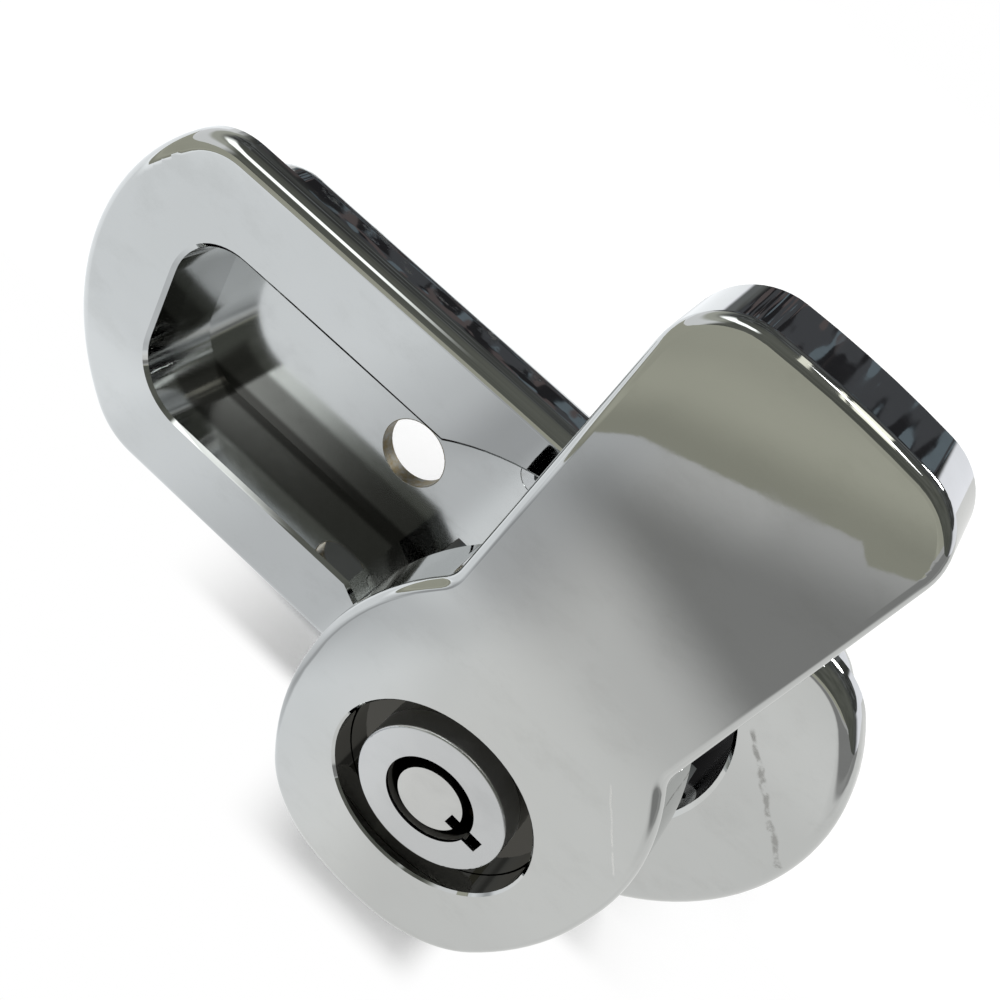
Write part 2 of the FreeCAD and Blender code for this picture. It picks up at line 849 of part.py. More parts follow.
cap = turned_piece(
    "face_cap",
    [
        (v.keyway_radius, nose_face),
        (v.nose_radius, nose_face),
        (v.nose_radius, head_front - v.run_play),
        (nose_wall + v.run_play * 0.4, head_front - v.run_play),
        (nose_wall + v.run_play * 0.4, shell_face - v.run_play * 0.2),
        (v.keyway_radius, shell_face - v.run_play * 0.2),
    ],
)
cap_notch = new_sketch(cap, "cap_notch", offset=nose_face)
box_outline(cap_notch, v.keyway_radius - OVER, v.face_notch_reach, -v.face_notch / 2, v.face_notch / 2)
notch_cut = pocket(cap, cap_notch, v.cap_wall * 2)
cap_edges = choose(notch_cut, lambda spots: lies_beyond(spots, nose_face, nose_wall))
dress(cap, "Fillet", "cap_edge", notch_cut, cap_edges, v.cap_wall * 0.8)
nodes.append(lean(cap))

post_face = face + v.post_below
plug = turned_piece(
    "lock_plug",
    [
        (0, post_face),
        (v.post_radius, post_face),
        (v.post_radius, keyway_floor - v.run_play),
        (v.neck_radius, keyway_floor - v.run_play),
        (v.neck_radius, drum_front),
        (v.drum_radius, drum_front),
        (v.drum_radius, drum_back),
        (0, drum_back),
    ],
)
plug_notch = new_sketch(plug, "plug_notch", offset=post_face)
notch_floor = v.post_radius - v.post_notch_depth
box_outline(plug_notch, notch_floor, v.post_radius + OVER, -v.post_notch / 2, v.post_notch / 2)
pocket(plug, plug_notch, v.keyway_depth - OVER)
crank_sketch = new_sketch(plug, "crank_pin", offset=drum_back)
crank_side = v.crank * cosine(45)
circle(crank_sketch, -crank_side, -crank_side, v.crank_pin)
pad(plug, crank_sketch, bolt_back - drum_back, back=True)
plug_hole = new_sketch(plug, "plug_hole", offset=drum_front)
circle(plug_hole, 0, v.pin_place, v.pin_radius + v.pin_play)
plug_cut = pocket(plug, plug_hole, v.drum_thick - v.pin_wall)
plug_pattern = plug.newObject("PartDesign::PolarPattern", "plug_pin_pattern")
plug_pattern.Originals = [plug_cut]
plug_pattern.Axis = (plug_hole, ["N_Axis"])
plug_pattern.Angle = 360
plug_pattern.Occurrences = PIN_COUNT
plug.Tip = plug_pattern
nodes.append(lean(plug))

pins = []
drivers = []
springs = []
driver_back = drum_front + v.driver_length
spring_front = driver_back + v.pin_play
spring_back = drum_back - v.pin_wall - v.pin_play
for index in range(PIN_COUNT):
    angle = 360.0 / PIN_COUNT * index
    x = v.pin_place * sine(angle)
    z = v.pin_place * cosine(angle)
    pins.append(bar(f"pin_{index}", x, z, nose_face + v.pin_below, shear - v.pin_play, v.pin_radius))
    drivers.append(bar(f"driver_{index}", x, z, drum_front + v.pin_play, driver_back, v.pin_radius))
    springs.append(bar(f"coil_{index}", x, z, spring_front, spring_back, v.pin_radius - v.pin_play))
nodes.append(lean(group("tumbler_pins", pins)))
nodes.append(lean(group("driver_pins", drivers)))
nodes.append(lean(group("tumbler_springs", springs)))

clip_points = ring_points(v.clip_hole, clip_outer, clip_front + v.run_play * 0.2, clip_back)
nodes.append(lean(turned_piece("plug_clip", clip_points, 320.0)))
snap_inner = v.nose_radius - v.snap_bite + v.run_play
snap_points = ring_points(snap_inner, cylinder_bore + v.snap_bite, snap_front, drum_back)
nodes.append(lean(turned_piece("cylinder_snap_ring", snap_points, 330.0)))
dowel_front = head_back - v.dowel_half
dowel_back = head_back + v.dowel_half
dowel = bar("lock_dowel", 0, 0, dowel_front, dowel_back, v.dowel_radius)
dowel.setExpression("Placement.Base.x", (v.dowel_place * sine(v.lean)).text)
dowel.setExpression("Placement.Base.z", (v.dowel_place * cosine(v.lean)).text)
dowel.Label = "lock_dowel"
nodes.append(dowel)


# Locking bolt in the stem, and its spring

bolt = new_body("locking_bolt")
tip_chord = chord(v.bolt_reach, v.bolt_half)
bolt_sketch = new_sketch(bolt, "bolt_shape", offset=bolt_back)
outline(
    bolt_sketch,
    [
        (-v.bolt_half, -tip_chord),
        (v.bolt_half, -tip_chord),
        (v.bolt_half, v.bolt_tail),
        (-v.bolt_half, v.bolt_tail),
    ],
    {0: ((0, 0), 1)},
)
bolt_bar = pad(bolt, bolt_sketch, v.bolt_thick)
tip_end = OVER - v.bolt_reach.number
tip_edge = choose(bolt_bar, lambda spots: lies_at(spots, bolt_back) and spots[1].z < tip_end)
bevel = dress(bolt, "Chamfer", "bolt_bevel_face", bolt_bar, tip_edge, v.bolt_bevel)
slot_sketch = new_sketch(bolt, "crank_slot", offset=bolt_front)
slot_high = -crank_side + v.crank_pin + v.crank_play
slot_low = -crank_side - v.crank_pin - v.crank_play
slot_side = v.crank + v.crank_pin + v.crank_play
box_outline(slot_sketch, -slot_side, slot_side, slot_low, slot_high)
pocket(bolt, slot_sketch, v.bolt_thick + OVER)
well = new_sketch(bolt, "spring_well", "XY_Plane", offset=v.bolt_tail)
circle(well, 0, bolt_front + v.bolt_thick / 2, v.bolt_spring_radius + v.run_play * 2)
well_cut = pocket(bolt, well, v.bolt_spring_sunk)
nodes.append(lean(bolt))

bolt_spring = new_body("bolt_spring")
coil_start = v.bolt_tail - v.bolt_spring_sunk + v.seat_gap
wire_sketch = new_sketch(bolt_spring, "bolt_spring_shape", "XY_Plane", offset=coil_start)
circle(wire_sketch, 0, bolt_front + v.bolt_thick / 2, v.bolt_spring_radius)
circle(wire_sketch, 0, bolt_front + v.bolt_thick / 2, v.bolt_spring_radius - v.bolt_spring_wire)
spring_seat = chord(cylinder_bore, v.bolt_spring_radius) - v.run_play
coil = pad(bolt_spring, wire_sketch, spring_seat - coil_start)
nodes.append(lean(bolt_spring))


# Ring that keeps the stem in the rotor, and the spring that throws the handle out

keeper_points = ring_points(
    v.stem_radius - v.ring_groove + v.run_play, v.stem_radius + v.ring_reach, ring_front, ring_back
)
nodes.append(lean(turned_piece("stem_snap_ring", keeper_points, 320.0)))
spring_points = ring_points(
    v.spring_radius - v.spring_wire / 2,
    v.spring_radius + v.spring_wire / 2,
    -v.web_back,
    spigot_front,
)
nodes.append(lean(turned_piece("popout_spring", spring_points)))


# Bearing housing, its screws and the stop pin

housing = new_body("bearing_housing")
flange_sketch = new_sketch(housing, "flange", offset=flange_back)
flange_run = chord(v.flange_radius, v.flange_half)
outline(
    flange_sketch,
    [
        (-flange_run, -v.flange_half),
        (flange_run, -v.flange_half),
        (flange_run, v.flange_half),
        (-flange_run, v.flange_half),
    ],
    {1: ((0, 0), 1), 3: ((0, 0), 1)},
)
pad(housing, flange_sketch, v.flange_thick)
barrel_sketch = new_sketch(housing, "barrel", offset=floor_back)
circle(barrel_sketch, 0, 0, v.barrel_radius)
pad(housing, barrel_sketch, v.barrel_end - floor_back, back=True)
bore_sketch = new_sketch(housing, "bearing_bore", "XY_Plane")
bearing = v.rotor_radius + v.run_play
counterbore = v.rotor_flange + v.side_play
outline(
    bore_sketch,
    [
        (0, floor_back),
        (counterbore, floor_back),
        (counterbore, shoulder),
        (bearing, shoulder),
        (bearing, v.barrel_end),
        (0, v.barrel_end),
    ],
)
spin(housing, bore_sketch, "Groove")
tapped = new_sketch(housing, "tapped_holes", offset=floor_back)
for x, z in screw_spots:
    circle(tapped, x, z, v.screw_radius + v.run_play)
pocket(housing, tapped, v.flange_thick)
stop_x = v.stop_place * sine(v.stop_angle)
stop_z = v.stop_place * cosine(v.stop_angle)
stop_hole = new_sketch(housing, "stop_hole", offset=shoulder)
circle(stop_hole, stop_x, stop_z, v.stop_radius)
stop_cut = pocket(housing, stop_hole, v.stop_depth)
end_rim = choose(stop_cut, lambda spots: lies_beyond(spots, v.barrel_end, bearing + v.barrel_bevel))
dress(housing, "Chamfer", "barrel_chamfer", stop_cut, end_rim, v.barrel_bevel)
nodes.append(housing)

stop_front = rotor_front + v.ring_play
stop_back = shoulder + v.stop_depth - v.ring_play
stop_pin = bar("stop_pin", stop_x, stop_z, stop_front, stop_back, v.stop_radius - v.seat_gap)
stop_pin.Label = "stop_pin"
nodes.append(stop_pin)

screws = []
for index, (x, z) in enumerate(screw_spots):
    screw = new_body(f"screw_{index}")
    profile = new_sketch(screw, f"screw_profile_{index}", "XY_Plane")
    outline(
        profile,
        [
            (0, floor_front),
            (v.screw_head, floor_front),
            (v.screw_radius, floor_front + v.screw_head - v.screw_radius),
            (v.screw_radius, flange_back),
            (0, flange_back),
        ],
    )
    spin(screw, profile)
    socket = new_sketch(screw, f"screw_socket_{index}", offset=floor_front)
    socket_corners = []
    for corner in range(6):
        angle = 60.0 * corner + 30
        socket_corners.append((v.socket_radius * sine(angle), v.socket_radius * cosine(angle)))
    outline(socket, socket_corners)
    pocket(screw, socket, v.socket_depth)
    screw.setExpression("Placement.Base.x", x.text)
    screw.setExpression("Placement.Base.z", z.text)
    screws.append(screw)
nodes.append(group("housing_screws", screws))


# Rotor and its rear end

rotor = turned_piece(
    "rotor",
    [
        (0, rotor_front),
        (v.rotor_flange, rotor_front),
        (v.rotor_flange, rotor_flange_back),
        (v.rotor_radius, rotor_flange_back),
        (v.rotor_radius, cap_front),
        (v.rotor_bore, cap_front),
        (v.rotor_bore, collar_back),
        (0, collar_back),
    ],
)
collar = new_sketch(rotor, "collar_hole", offset=rotor_front)
double_flat(collar, v.stem_radius + v.stem_play, v.stem_flat + v.stem_play)
pocket(rotor, collar, v.collar_thick)
first_angle = v.stop_angle - v.lean - v.stop_margin
last_angle = v.stop_angle + 90 + v.stop_margin
notch_inner = v.rotor_radius + v.ring_play
notch_outer = v.rotor_flange + OVER
notch = new_sketch(rotor, "stop_notch", offset=rotor_front)
outline(
    notch,
    [
        (notch_inner * sine(first_angle), notch_inner * cosine(first_angle)),
        (notch_outer * sine(first_angle), notch_outer * cosine(first_angle)),
        (notch_outer * sine(last_angle), notch_outer * cosine(last_angle)),
        (notch_inner * sine(last_angle), notch_inner * cosine(last_angle)),
    ],
    {1: ((0, 0), -1), 3: ((0, 0), 1)},
)
pocket(rotor, notch, v.rotor_flange_thick)
pin_line = spigot_front + v.spigot / 2
rotor_cross = new_sketch(rotor, "rotor_cross_hole", "YZ_Plane")
circle(rotor_cross, pin_line, 0, v.cross_pin + v.run_play)
pocket(rotor, rotor_cross, v.rotor_radius * 3, both=True)
nodes.append(lean(rotor))

end_cap = turned_piece(
    "rotor_end",
    [
        (0, spigot_front),
        (v.rotor_bore - v.run_play, spigot_front),
        (v.rotor_bore - v.run_play, cap_front),
        (v.cap_flange, cap_front),
        (v.cap_flange, cap_back),
        (v.stud_radius, cap_back),
        (v.stud_radius, stud_end - v.stud_bevel),
        (v.stud_radius - v.stud_bevel, stud_end),
        (0, stud_end),
    ],
)
square_sketch = new_sketch(end_cap, "square", offset=cap_back)
half_square = v.square / 2
box_outline(square_sketch, -half_square, half_square, -half_square, half_square)
pad(end_cap, square_sketch, square_end - cap_back, back=True)
cap_cross = new_sketch(end_cap, "cap_cross_hole", "YZ_Plane")
circle(cap_cross, pin_line, 0, v.cross_pin + v.run_play)
pocket(end_cap, cap_cross, v.rotor_radius * 3, both=True)
nodes.append(lean(end_cap))

cross = new_body("cross_pin")
cross_sketch = new_sketch(cross, "cross_pin_shape", "YZ_Plane")
circle(cross_sketch, pin_line, 0, v.cross_pin)
cross_pad = pad(cross, cross_sketch, (v.rotor_radius - v.side_play) * 2)
cross_pad.Midplane = True
nodes.append(lean(cross))

washer_points = ring_points(
    v.rotor_radius + v.run_play * 2,
    v.cap_flange,
    v.barrel_end + v.run_play,
    v.barrel_end + v.run_play + v.washer_thick,
)
nodes.append(lean(turned_piece("thrust_washer", washer_points)))


# Cam, its washer and nut

cam = new_body("cam")
cam_sketch = new_sketch(cam, "cam_shape", offset=cam_back)
outline(
    cam_sketch,
    [
        (-v.cam_hub, 0),
        (v.cam_hub, 0),
        (v.cam_tip_half, v.cam_tip),
        (-v.cam_tip_half, v.cam_tip),
    ],
    {0: ((0, 0), 1)},
)
cam_plate = pad(cam, cam_sketch, v.cam_thick)
cam_edges = choose(cam_plate, lambda spots: upright_at(spots, v.cam_tip_half, v.cam_tip))
cam_round = dress(cam, "Fillet", "cam_corners", cam_plate, cam_edges, v.cam_corner)
cam_hole = new_sketch(cam, "cam_square", offset=cap_back)
cam_half = half_square + v.square_play / 2
box_outline(cam_hole, -cam_half, cam_half, -cam_half, cam_half)
pocket(cam, cam_hole, v.cam_thick)
nodes.append(lean(cam))

nut_washer_points = ring_points(v.stud_radius + v.square_play, v.nut_washer_radius, cam_back, nut_front)
nodes.append(lean(turned_piece("cam_washer", nut_washer_points)))

nut = new_body("cam_nut")
nut_sketch = new_sketch(nut, "nut_shape", offset=nut_back)
nut_reach = v.nut_flat / math.sqrt(3)
nut_corners = []
for corner in range(6):
    nut_corners.append((nut_reach * sine(60.0 * corner), nut_reach * cosine(60.0 * corner)))
outline(nut_sketch, nut_corners)
pad(nut, nut_sketch, v.nut_thick)
nut_bore = new_sketch(nut, "nut_bore", offset=nut_front)
circle(nut_bore, 0, 0, v.stud_radius + v.run_play / 2)
pocket(nut, nut_bore, v.nut_thick)
nodes.append(lean(nut))


# Checks and export

doc.recompute()
for item in doc.Objects:
    if "Invalid" in item.State or "Error" in item.State:
        raise RuntimeError(f"{item.Name} failed: {item.State}")
for node in nodes:
    if node.Shape.isNull() or not node.Shape.isValid():
        raise RuntimeError(f"{node.Label} has no valid shape")

print(f"travel of the handle into the pocket {travel.number:.2f} mm")
os.makedirs("parts", exist_ok=True)
for node in nodes:
    node.Shape.exportStep(f"parts/{node.Label}.step")
    box_of = node.Shape.BoundBox
    print(
        f"{node.Label:20s} solids {len(node.Shape.Solids)} volume {node.Shape.Volume:9.2f}"
        f"  x {box_of.XMin:7.2f} {box_of.XMax:7.2f}  y {box_of.YMin:7.2f} {box_of.YMax:7.2f}"
        f"  z {box_of.ZMin:7.2f} {box_of.ZMax:7.2f}"
    )
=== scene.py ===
import logging
import math
from dataclasses import dataclass, field, replace
from enum import Enum
from functools import cache, reduce
from operator import mul
from typing import Any, Optional, Sequence, Union

import bpy
from mathutils import Matrix, Vector


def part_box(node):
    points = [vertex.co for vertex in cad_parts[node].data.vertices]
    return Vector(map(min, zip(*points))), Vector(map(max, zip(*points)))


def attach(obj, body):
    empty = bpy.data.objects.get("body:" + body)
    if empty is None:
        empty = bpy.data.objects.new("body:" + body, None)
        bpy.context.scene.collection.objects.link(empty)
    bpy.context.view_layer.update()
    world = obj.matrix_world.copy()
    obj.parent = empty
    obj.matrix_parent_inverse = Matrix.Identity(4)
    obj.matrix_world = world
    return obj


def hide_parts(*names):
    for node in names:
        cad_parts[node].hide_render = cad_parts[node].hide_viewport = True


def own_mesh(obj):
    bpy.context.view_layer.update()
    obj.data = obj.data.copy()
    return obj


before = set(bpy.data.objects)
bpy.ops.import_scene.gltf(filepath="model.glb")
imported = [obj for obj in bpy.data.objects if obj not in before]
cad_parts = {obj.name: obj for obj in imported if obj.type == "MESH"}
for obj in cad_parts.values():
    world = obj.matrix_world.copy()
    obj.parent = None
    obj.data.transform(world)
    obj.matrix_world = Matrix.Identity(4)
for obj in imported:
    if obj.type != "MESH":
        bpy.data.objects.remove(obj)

LOG = logging.getLogger("vending_lock")
Triple = tuple[float, float, float]
Number = Union[int, float]


# Shader sums

class Socket:
    """One output of a shader node, with which sums are written as Python expressions."""

    def __init__(self, recipe: "Recipe", source: bpy.types.NodeSocket) -> None:
        """Keeps the output and the recipe that it belongs to.

        Args:
            recipe: the node tree that new nodes are added to.
            source: the node output that this object stands for.
        """
        self.recipe = recipe
        self.source = source

    def _sum(self, operation: str, *values: "Value") -> "Socket":
        """Adds one Math node and returns its output.

        Args:
            operation: the Math node's operation.
            values: its inputs, in order.

        Returns:
            The node's output.
        """
        return self.recipe.add("ShaderNodeMath", {"operation": operation}, dict(enumerate(values)))

    def __add__(self, other: "Value") -> "Socket":
        """self + other."""
        return self._sum("ADD", self, other)

    def __radd__(self, other: "Value") -> "Socket":
        """other + self."""
        return self._sum("ADD", other, self)

    def __sub__(self, other: "Value") -> "Socket":
        """self - other."""
        return self._sum("SUBTRACT", self, other)

    def __rsub__(self, other: "Value") -> "Socket":
        """other - self."""
        return self._sum("SUBTRACT", other, self)

    def __mul__(self, other: "Value") -> "Socket":
        """self * other."""
        return self._sum("MULTIPLY", self, other)

    def __rmul__(self, other: "Value") -> "Socket":
        """other * self."""
        return self._sum("MULTIPLY", other, self)

    def __pow__(self, other: "Value") -> "Socket":
        """self ** other."""
        return self._sum("POWER", self, other)

    def __abs__(self) -> "Socket":
        """The value without its sign."""
        return self._sum("ABSOLUTE", self)

    def sine(self) -> "Socket":
        """The sine of the value in radians."""
        return self._sum("SINE", self)

    def between(self, low: Number, high: Number) -> "Socket":
        """A soft step.

        Args:
            low: the value at which the step is 0.
            high: the value at which the step is 1. It may be below low.

        Returns:
            0 to 1, rising smoothly from low to high.
        """
        inputs = {"Value": self, "From Min": low, "From Max": high}
        return self.recipe.add("ShaderNodeMapRange", {"interpolation_type": "SMOOTHSTEP"}, inputs)


Value = Union[Socket, Number, Sequence[float]]


def far(first: Socket, second: Socket) -> Socket:
    """The distance of a point, from its distances along two square directions."""
    return (first * first + second * second) ** 0.5


class Recipe:
    """The node tree of one material, or of the world."""

    def __init__(self, owner: Union[bpy.types.Material, bpy.types.World]) -> None:
        """Empties the owner's node tree.

        Args:
            owner: the material or world to fill.
        """
        owner.use_nodes = True
        self.tree = owner.node_tree
        self.tree.nodes.clear()

    def node(self, kind: str, settings: dict[str, Any], inputs: dict[Any, Value]) -> bpy.types.Node:
        """Adds one node.

        Args:
            kind: the node's type.
            settings: its properties.
            inputs: values and outputs for its sockets, by name or number.

        Returns:
            The node.
        """
        made = self.tree.nodes.new(kind)
        for name, value in settings.items():
            setattr(made, name, value)
        for name, value in inputs.items():
            entry = made.inputs[name]
            if isinstance(value, Socket):
                self.tree.links.new(value.source, entry)
            elif entry.type == "RGBA":
                entry.default_value = (*value, 1.0)
            else:
                entry.default_value = value
        return made

    def add(self, kind: str, settings: dict[str, Any], inputs: dict[Any, Value],
            output: Union[int, str] = 0) -> Socket:
        """Adds one node and returns one of its outputs.

        Args:
            kind: the node's type.
            settings: its properties.
            inputs: values and outputs for its sockets.
            output: the wanted output's number or name.

        Returns:
            The output.
        """
        return Socket(self, self.node(kind, settings, inputs).outputs[output])

    def place(self) -> Socket:
        """The point on the surface, in the frame of the part, in metres."""
        return self.add("ShaderNodeTexCoord", {}, {}, "Object")

    def parts(self, vector: Socket) -> tuple[Socket, Socket, Socket]:
        """The three coordinates of a vector."""
        split = self.node("ShaderNodeSeparateXYZ", {}, {0: vector})
        return Socket(self, split.outputs[0]), Socket(self, split.outputs[1]), Socket(self, split.outputs[2])

    def stretched(self, vector: Socket, scale: Sequence[float]) -> Socket:
        """The vector with each coordinate multiplied."""
        return self.add("ShaderNodeVectorMath", {"operation": "MULTIPLY"}, {0: vector, 1: scale})

    def scaled(self, colour: Value, strength: Socket) -> Socket:
        """A colour made brighter or darker."""
        return self.add("ShaderNodeVectorMath", {"operation": "SCALE"}, {0: colour, "Scale": strength})

    def noise(self, vector: Socket, scale: Number, detail: Number = 2.0, rough: Number = 0.5) -> Socket:
        """Cloudy noise.

        Args:
            vector: where it is read.
            scale: its cells per metre.
            detail: how many finer layers it has.
            rough: how strong the finer layers are.

        Returns:
            0 to 1.
        """
        inputs = {"Vector": vector, "Scale": scale, "Detail": detail, "Roughness": rough}
        return self.add("ShaderNodeTexNoise", {"noise_dimensions": "3D"}, inputs)

    def mix(self, share: Value, first: Value, second: Value) -> Socket:
        """Goes from the first colour to the second.

        Args:
            share: 0 for the first colour and 1 for the second.
            first: a colour.
            second: a colour.

        Returns:
            The mixed colour.
        """
        inputs = {"Factor": share, 6: first, 7: second}
        return self.add("ShaderNodeMix", {"data_type": "RGBA"}, inputs, 2)

    def bump(self, height: Socket, distance: Number, normal: Optional[Socket] = None) -> Socket:
        """Raises the surface by a height.

        Args:
            height: 0 to 1 over the surface.
            distance: the height of 1, in metres.
            normal: an earlier bump, if there is one.

        Returns:
            The normal.
        """
        inputs: dict[Any, Value] = {"Height": height, "Distance": distance, "Strength": 1.0}
        if normal is not None:
            inputs["Normal"] = normal
        return self.add("ShaderNodeBump", {}, inputs)

    def glow(self, colour: Value, strength: Number = 1.0) -> Socket:
        """A surface that shines with a colour."""
        return self.add("ShaderNodeEmission", {}, {"Color": colour, "Strength": strength})

    def sky(self, colour: Value, strength: Number = 1.0) -> Socket:
        """The world shining with a colour."""
        return self.add("ShaderNodeBackground", {}, {"Color": colour, "Strength": strength})

    def choice(self, share: Socket, first: Socket, second: Socket) -> Socket:
        """Goes from the first surface to the second, as the share goes from 0 to 1."""
        return self.add("ShaderNodeMixShader", {}, {0: share, 1: first, 2: second})

    def seen_by(self, rays: str) -> Socket:
        """1 for the named kind of rays of the Light Path node, and 0 for others."""
        return self.add("ShaderNodeLightPath", {}, {}, rays)


# Patterns

@dataclass(frozen=True)
class Point:
    """The point that is shaded: its node tree, its place, and the measures that edges lie across."""

    recipe: Recipe
    place: Socket
    measures: dict[str, Socket]

    def noise(self, scale: Number, detail: Number = 2.0, rough: Number = 0.5) -> Socket:
        """Cloudy noise at the point."""
        return self.recipe.noise(self.place, scale, detail, rough)


@dataclass(frozen=True)
class Edge:
    """A soft edge across one named measure."""

    measure: str
    outside: float
    inside: float

    def share(self, point: Point) -> Socket:
        """0 at the outside value of the measure, rising smoothly to 1 at the inside value."""
        return point.measures[self.measure].between(self.outside, self.inside)


def agreed(edges: Sequence[Union[Edge, "Clouds"]], point: Point) -> Socket:
    """1 where the point is inside all the edges and clouds, and 0 elsewhere."""
    return reduce(mul, [edge.share(point) for edge in edges])


@dataclass(frozen=True, kw_only=True)
class Clouds:
    """Blotches of noise with soft edges. The scale is in cells per metre."""

    scale: float
    outside: float
    inside: float
    detail: float = 2.0
    rough: float = 0.5
    stretch: Triple = (1.0, 1.0, 1.0)

    def share(self, point: Point) -> Socket:
        """1 in the blotches and 0 between them."""
        place = point.recipe.stretched(point.place, self.stretch)
        noise = point.recipe.noise(place, self.scale, self.detail, self.rough)
        return noise.between(self.outside, self.inside)


@dataclass(frozen=True, kw_only=True)
class Layer:
    """A tint and roughness over the earlier ones, where all its edges and its clouds agree."""

    tint: Triple = (0.0, 0.0, 0.0)
    edges: tuple[Edge, ...] = ()
    clouds: Optional[Clouds] = None
    strength: float = 1.0
    rough: float = 0.0
    second: Optional[Triple] = None
    mottle: Optional[Clouds] = None

    def share(self, point: Point) -> Socket:
        """Where the layer lies.

        Args:
            point: the point that is shaded.

        Returns:
            1 in the layer and 0 elsewhere.
        """
        return agreed((*self.edges, self.clouds) if self.clouds else self.edges, point)

    def over(self, point: Point, share: Socket, colour: Value) -> Value:
        """Lays the tint over a colour.

        Args:
            point: the point that is shaded.
            share: where the layer lies.
            colour: the colour so far.

        Returns:
            The new colour.
        """
        if self.strength == 0:
            return colour
        tint: Value = self.tint
        if self.second and self.mottle:
            tint = point.recipe.mix(self.mottle.share(point), self.tint, self.second)
        return point.recipe.mix(share * self.strength, colour, tint)


@dataclass(frozen=True, kw_only=True)
class Scuff(Layer):
    """A light, broken scratch between two points (x, z) of a face that looks to the front."""

    start: tuple[float, float]
    end: tuple[float, float]
    level: float
    width: float
    tint: Triple = (0.75, 0.75, 0.74)
    strength: float = 0.8
    rough: float = 0.3
    core: float = 0.3
    taper: float = 0.001
    depth: tuple[float, float] = (0.0004, 0.0002)
    wobble: float = 2.5
    wobble_scale: float = 450.0
    gaps: Clouds = Clouds(scale=700.0, detail=3.0, rough=0.6, outside=0.36, inside=0.56)

    def share(self, point: Point) -> Socket:
        """Where the scratch lies.

        Args:
            point: the point that is shaded.

        Returns:
            1 in the scratch and 0 elsewhere.
        """
        off_x, off_z = point.measures["x"] - self.start[0], point.measures["z"] - self.start[1]
        run_x, run_z = self.end[0] - self.start[0], self.end[1] - self.start[1]
        length = math.hypot(run_x, run_z)
        along = off_x * (run_x / length) + off_z * (run_z / length)
        across = off_x * (run_z / length) - off_z * (run_x / length)
        bend = (point.noise(self.wobble_scale) - 0.5) * (self.width * self.wobble)
        line = abs(across + bend).between(self.width, self.width * self.core)
        ends = along.between(0.0, self.taper) * along.between(length, length - self.taper)
        face = abs(point.measures["y"] - self.level).between(*self.depth)
        return line * ends * face * self.gaps.share(point)


@dataclass(frozen=True, kw_only=True)
class Rubbed(Layer):
    """A rubbed side, with more wear towards one edge."""

    worse: Edge
    more: Clouds
    more_strength: float = 0.5

    def share(self, point: Point) -> Socket:
        """Where the metal is rubbed."""
        extra = self.worse.share(point) * self.more.share(point) * self.more_strength
        return agreed(self.edges, point) * (self.clouds.share(point) + extra)


# Finishes

class Marks(Enum):
    """The fine marks that the making of a piece leaves on it."""

    POLISHED = "polished"
    CAST = "cast"
    TURNED = "turned"
    ROLLED = "rolled"


HOLE_X = -0.0288
RING_SOFTNESS = 0.0001
TARNISH = Clouds(scale=45.0, detail=4.0, rough=0.6, outside=0.3, inside=0.7)
SMUDGES = Clouds(scale=130.0, detail=5.0, rough=0.65, outside=0.48, inside=0.72, stretch=(1.0, 1.0, 1.6))
HAIRLINES = Clouds(scale=160.0, detail=3.0, rough=0.7, outside=0.71, inside=0.76, stretch=(1.0, 1.0, 16.0))
CROSS_HAIRLINES = replace(HAIRLINES, stretch=(14.0, 1.0, 1.0))
SMUDGE_ROUGH = 0.6
HAIRLINE_ROUGH = 0.5
PIT_SCALE = 230.0
PIT_EDGE = (0.045, 0.02)
PIT_LOT = (0.86, 0.9)
PIT_STRENGTH = 0.8
RING_SHARE = 0.6
RING_CLOUD_FINENESS = 1.5
MARK_STRETCH = {Marks.POLISHED: (1.0, 1.0, 1.0), Marks.CAST: (1.0, 1.0, 1.0), Marks.ROLLED: (1.0, 1.0, 0.06)}
MARK_DETAIL = {Marks.POLISHED: (2.0, 0.4), Marks.CAST: (6.0, 0.65), Marks.ROLLED: (3.0, 0.6)}


def ring(inner: float, outer: float, front: float, fade: float) -> tuple[Edge, ...]:
    """The edges of a ring about the spindle's line, with no end behind.

    Args:
        inner: its inner radius, or 0.
        outer: its outer radius.
        front: where it starts along Y.
        fade: over what depth it starts.

    Returns:
        The edges.
    """
    edges = (Edge("radius", outer, outer - RING_SOFTNESS), Edge("y", front, front + fade))
    return (*edges, Edge("radius", inner - RING_SOFTNESS, inner)) if inner > 0 else edges


def surface_point(recipe: Recipe) -> Point:
    """A point on a piece, with its measures in metres.

    Args:
        recipe: the material's node tree.

    Returns:
        The point. "radius" is from the spindle's line, "side" from the pocket's middle line, and "hole" from
        the middle of the hole in the pocket's floor.
    """
    place = recipe.place()
    x, y, z = recipe.parts(place)
    measures = {"x": x, "y": y, "z": z, "radius": far(x, z), "side": abs(z), "hole": far(x - HOLE_X, z)}
    return Point(recipe, place, measures)


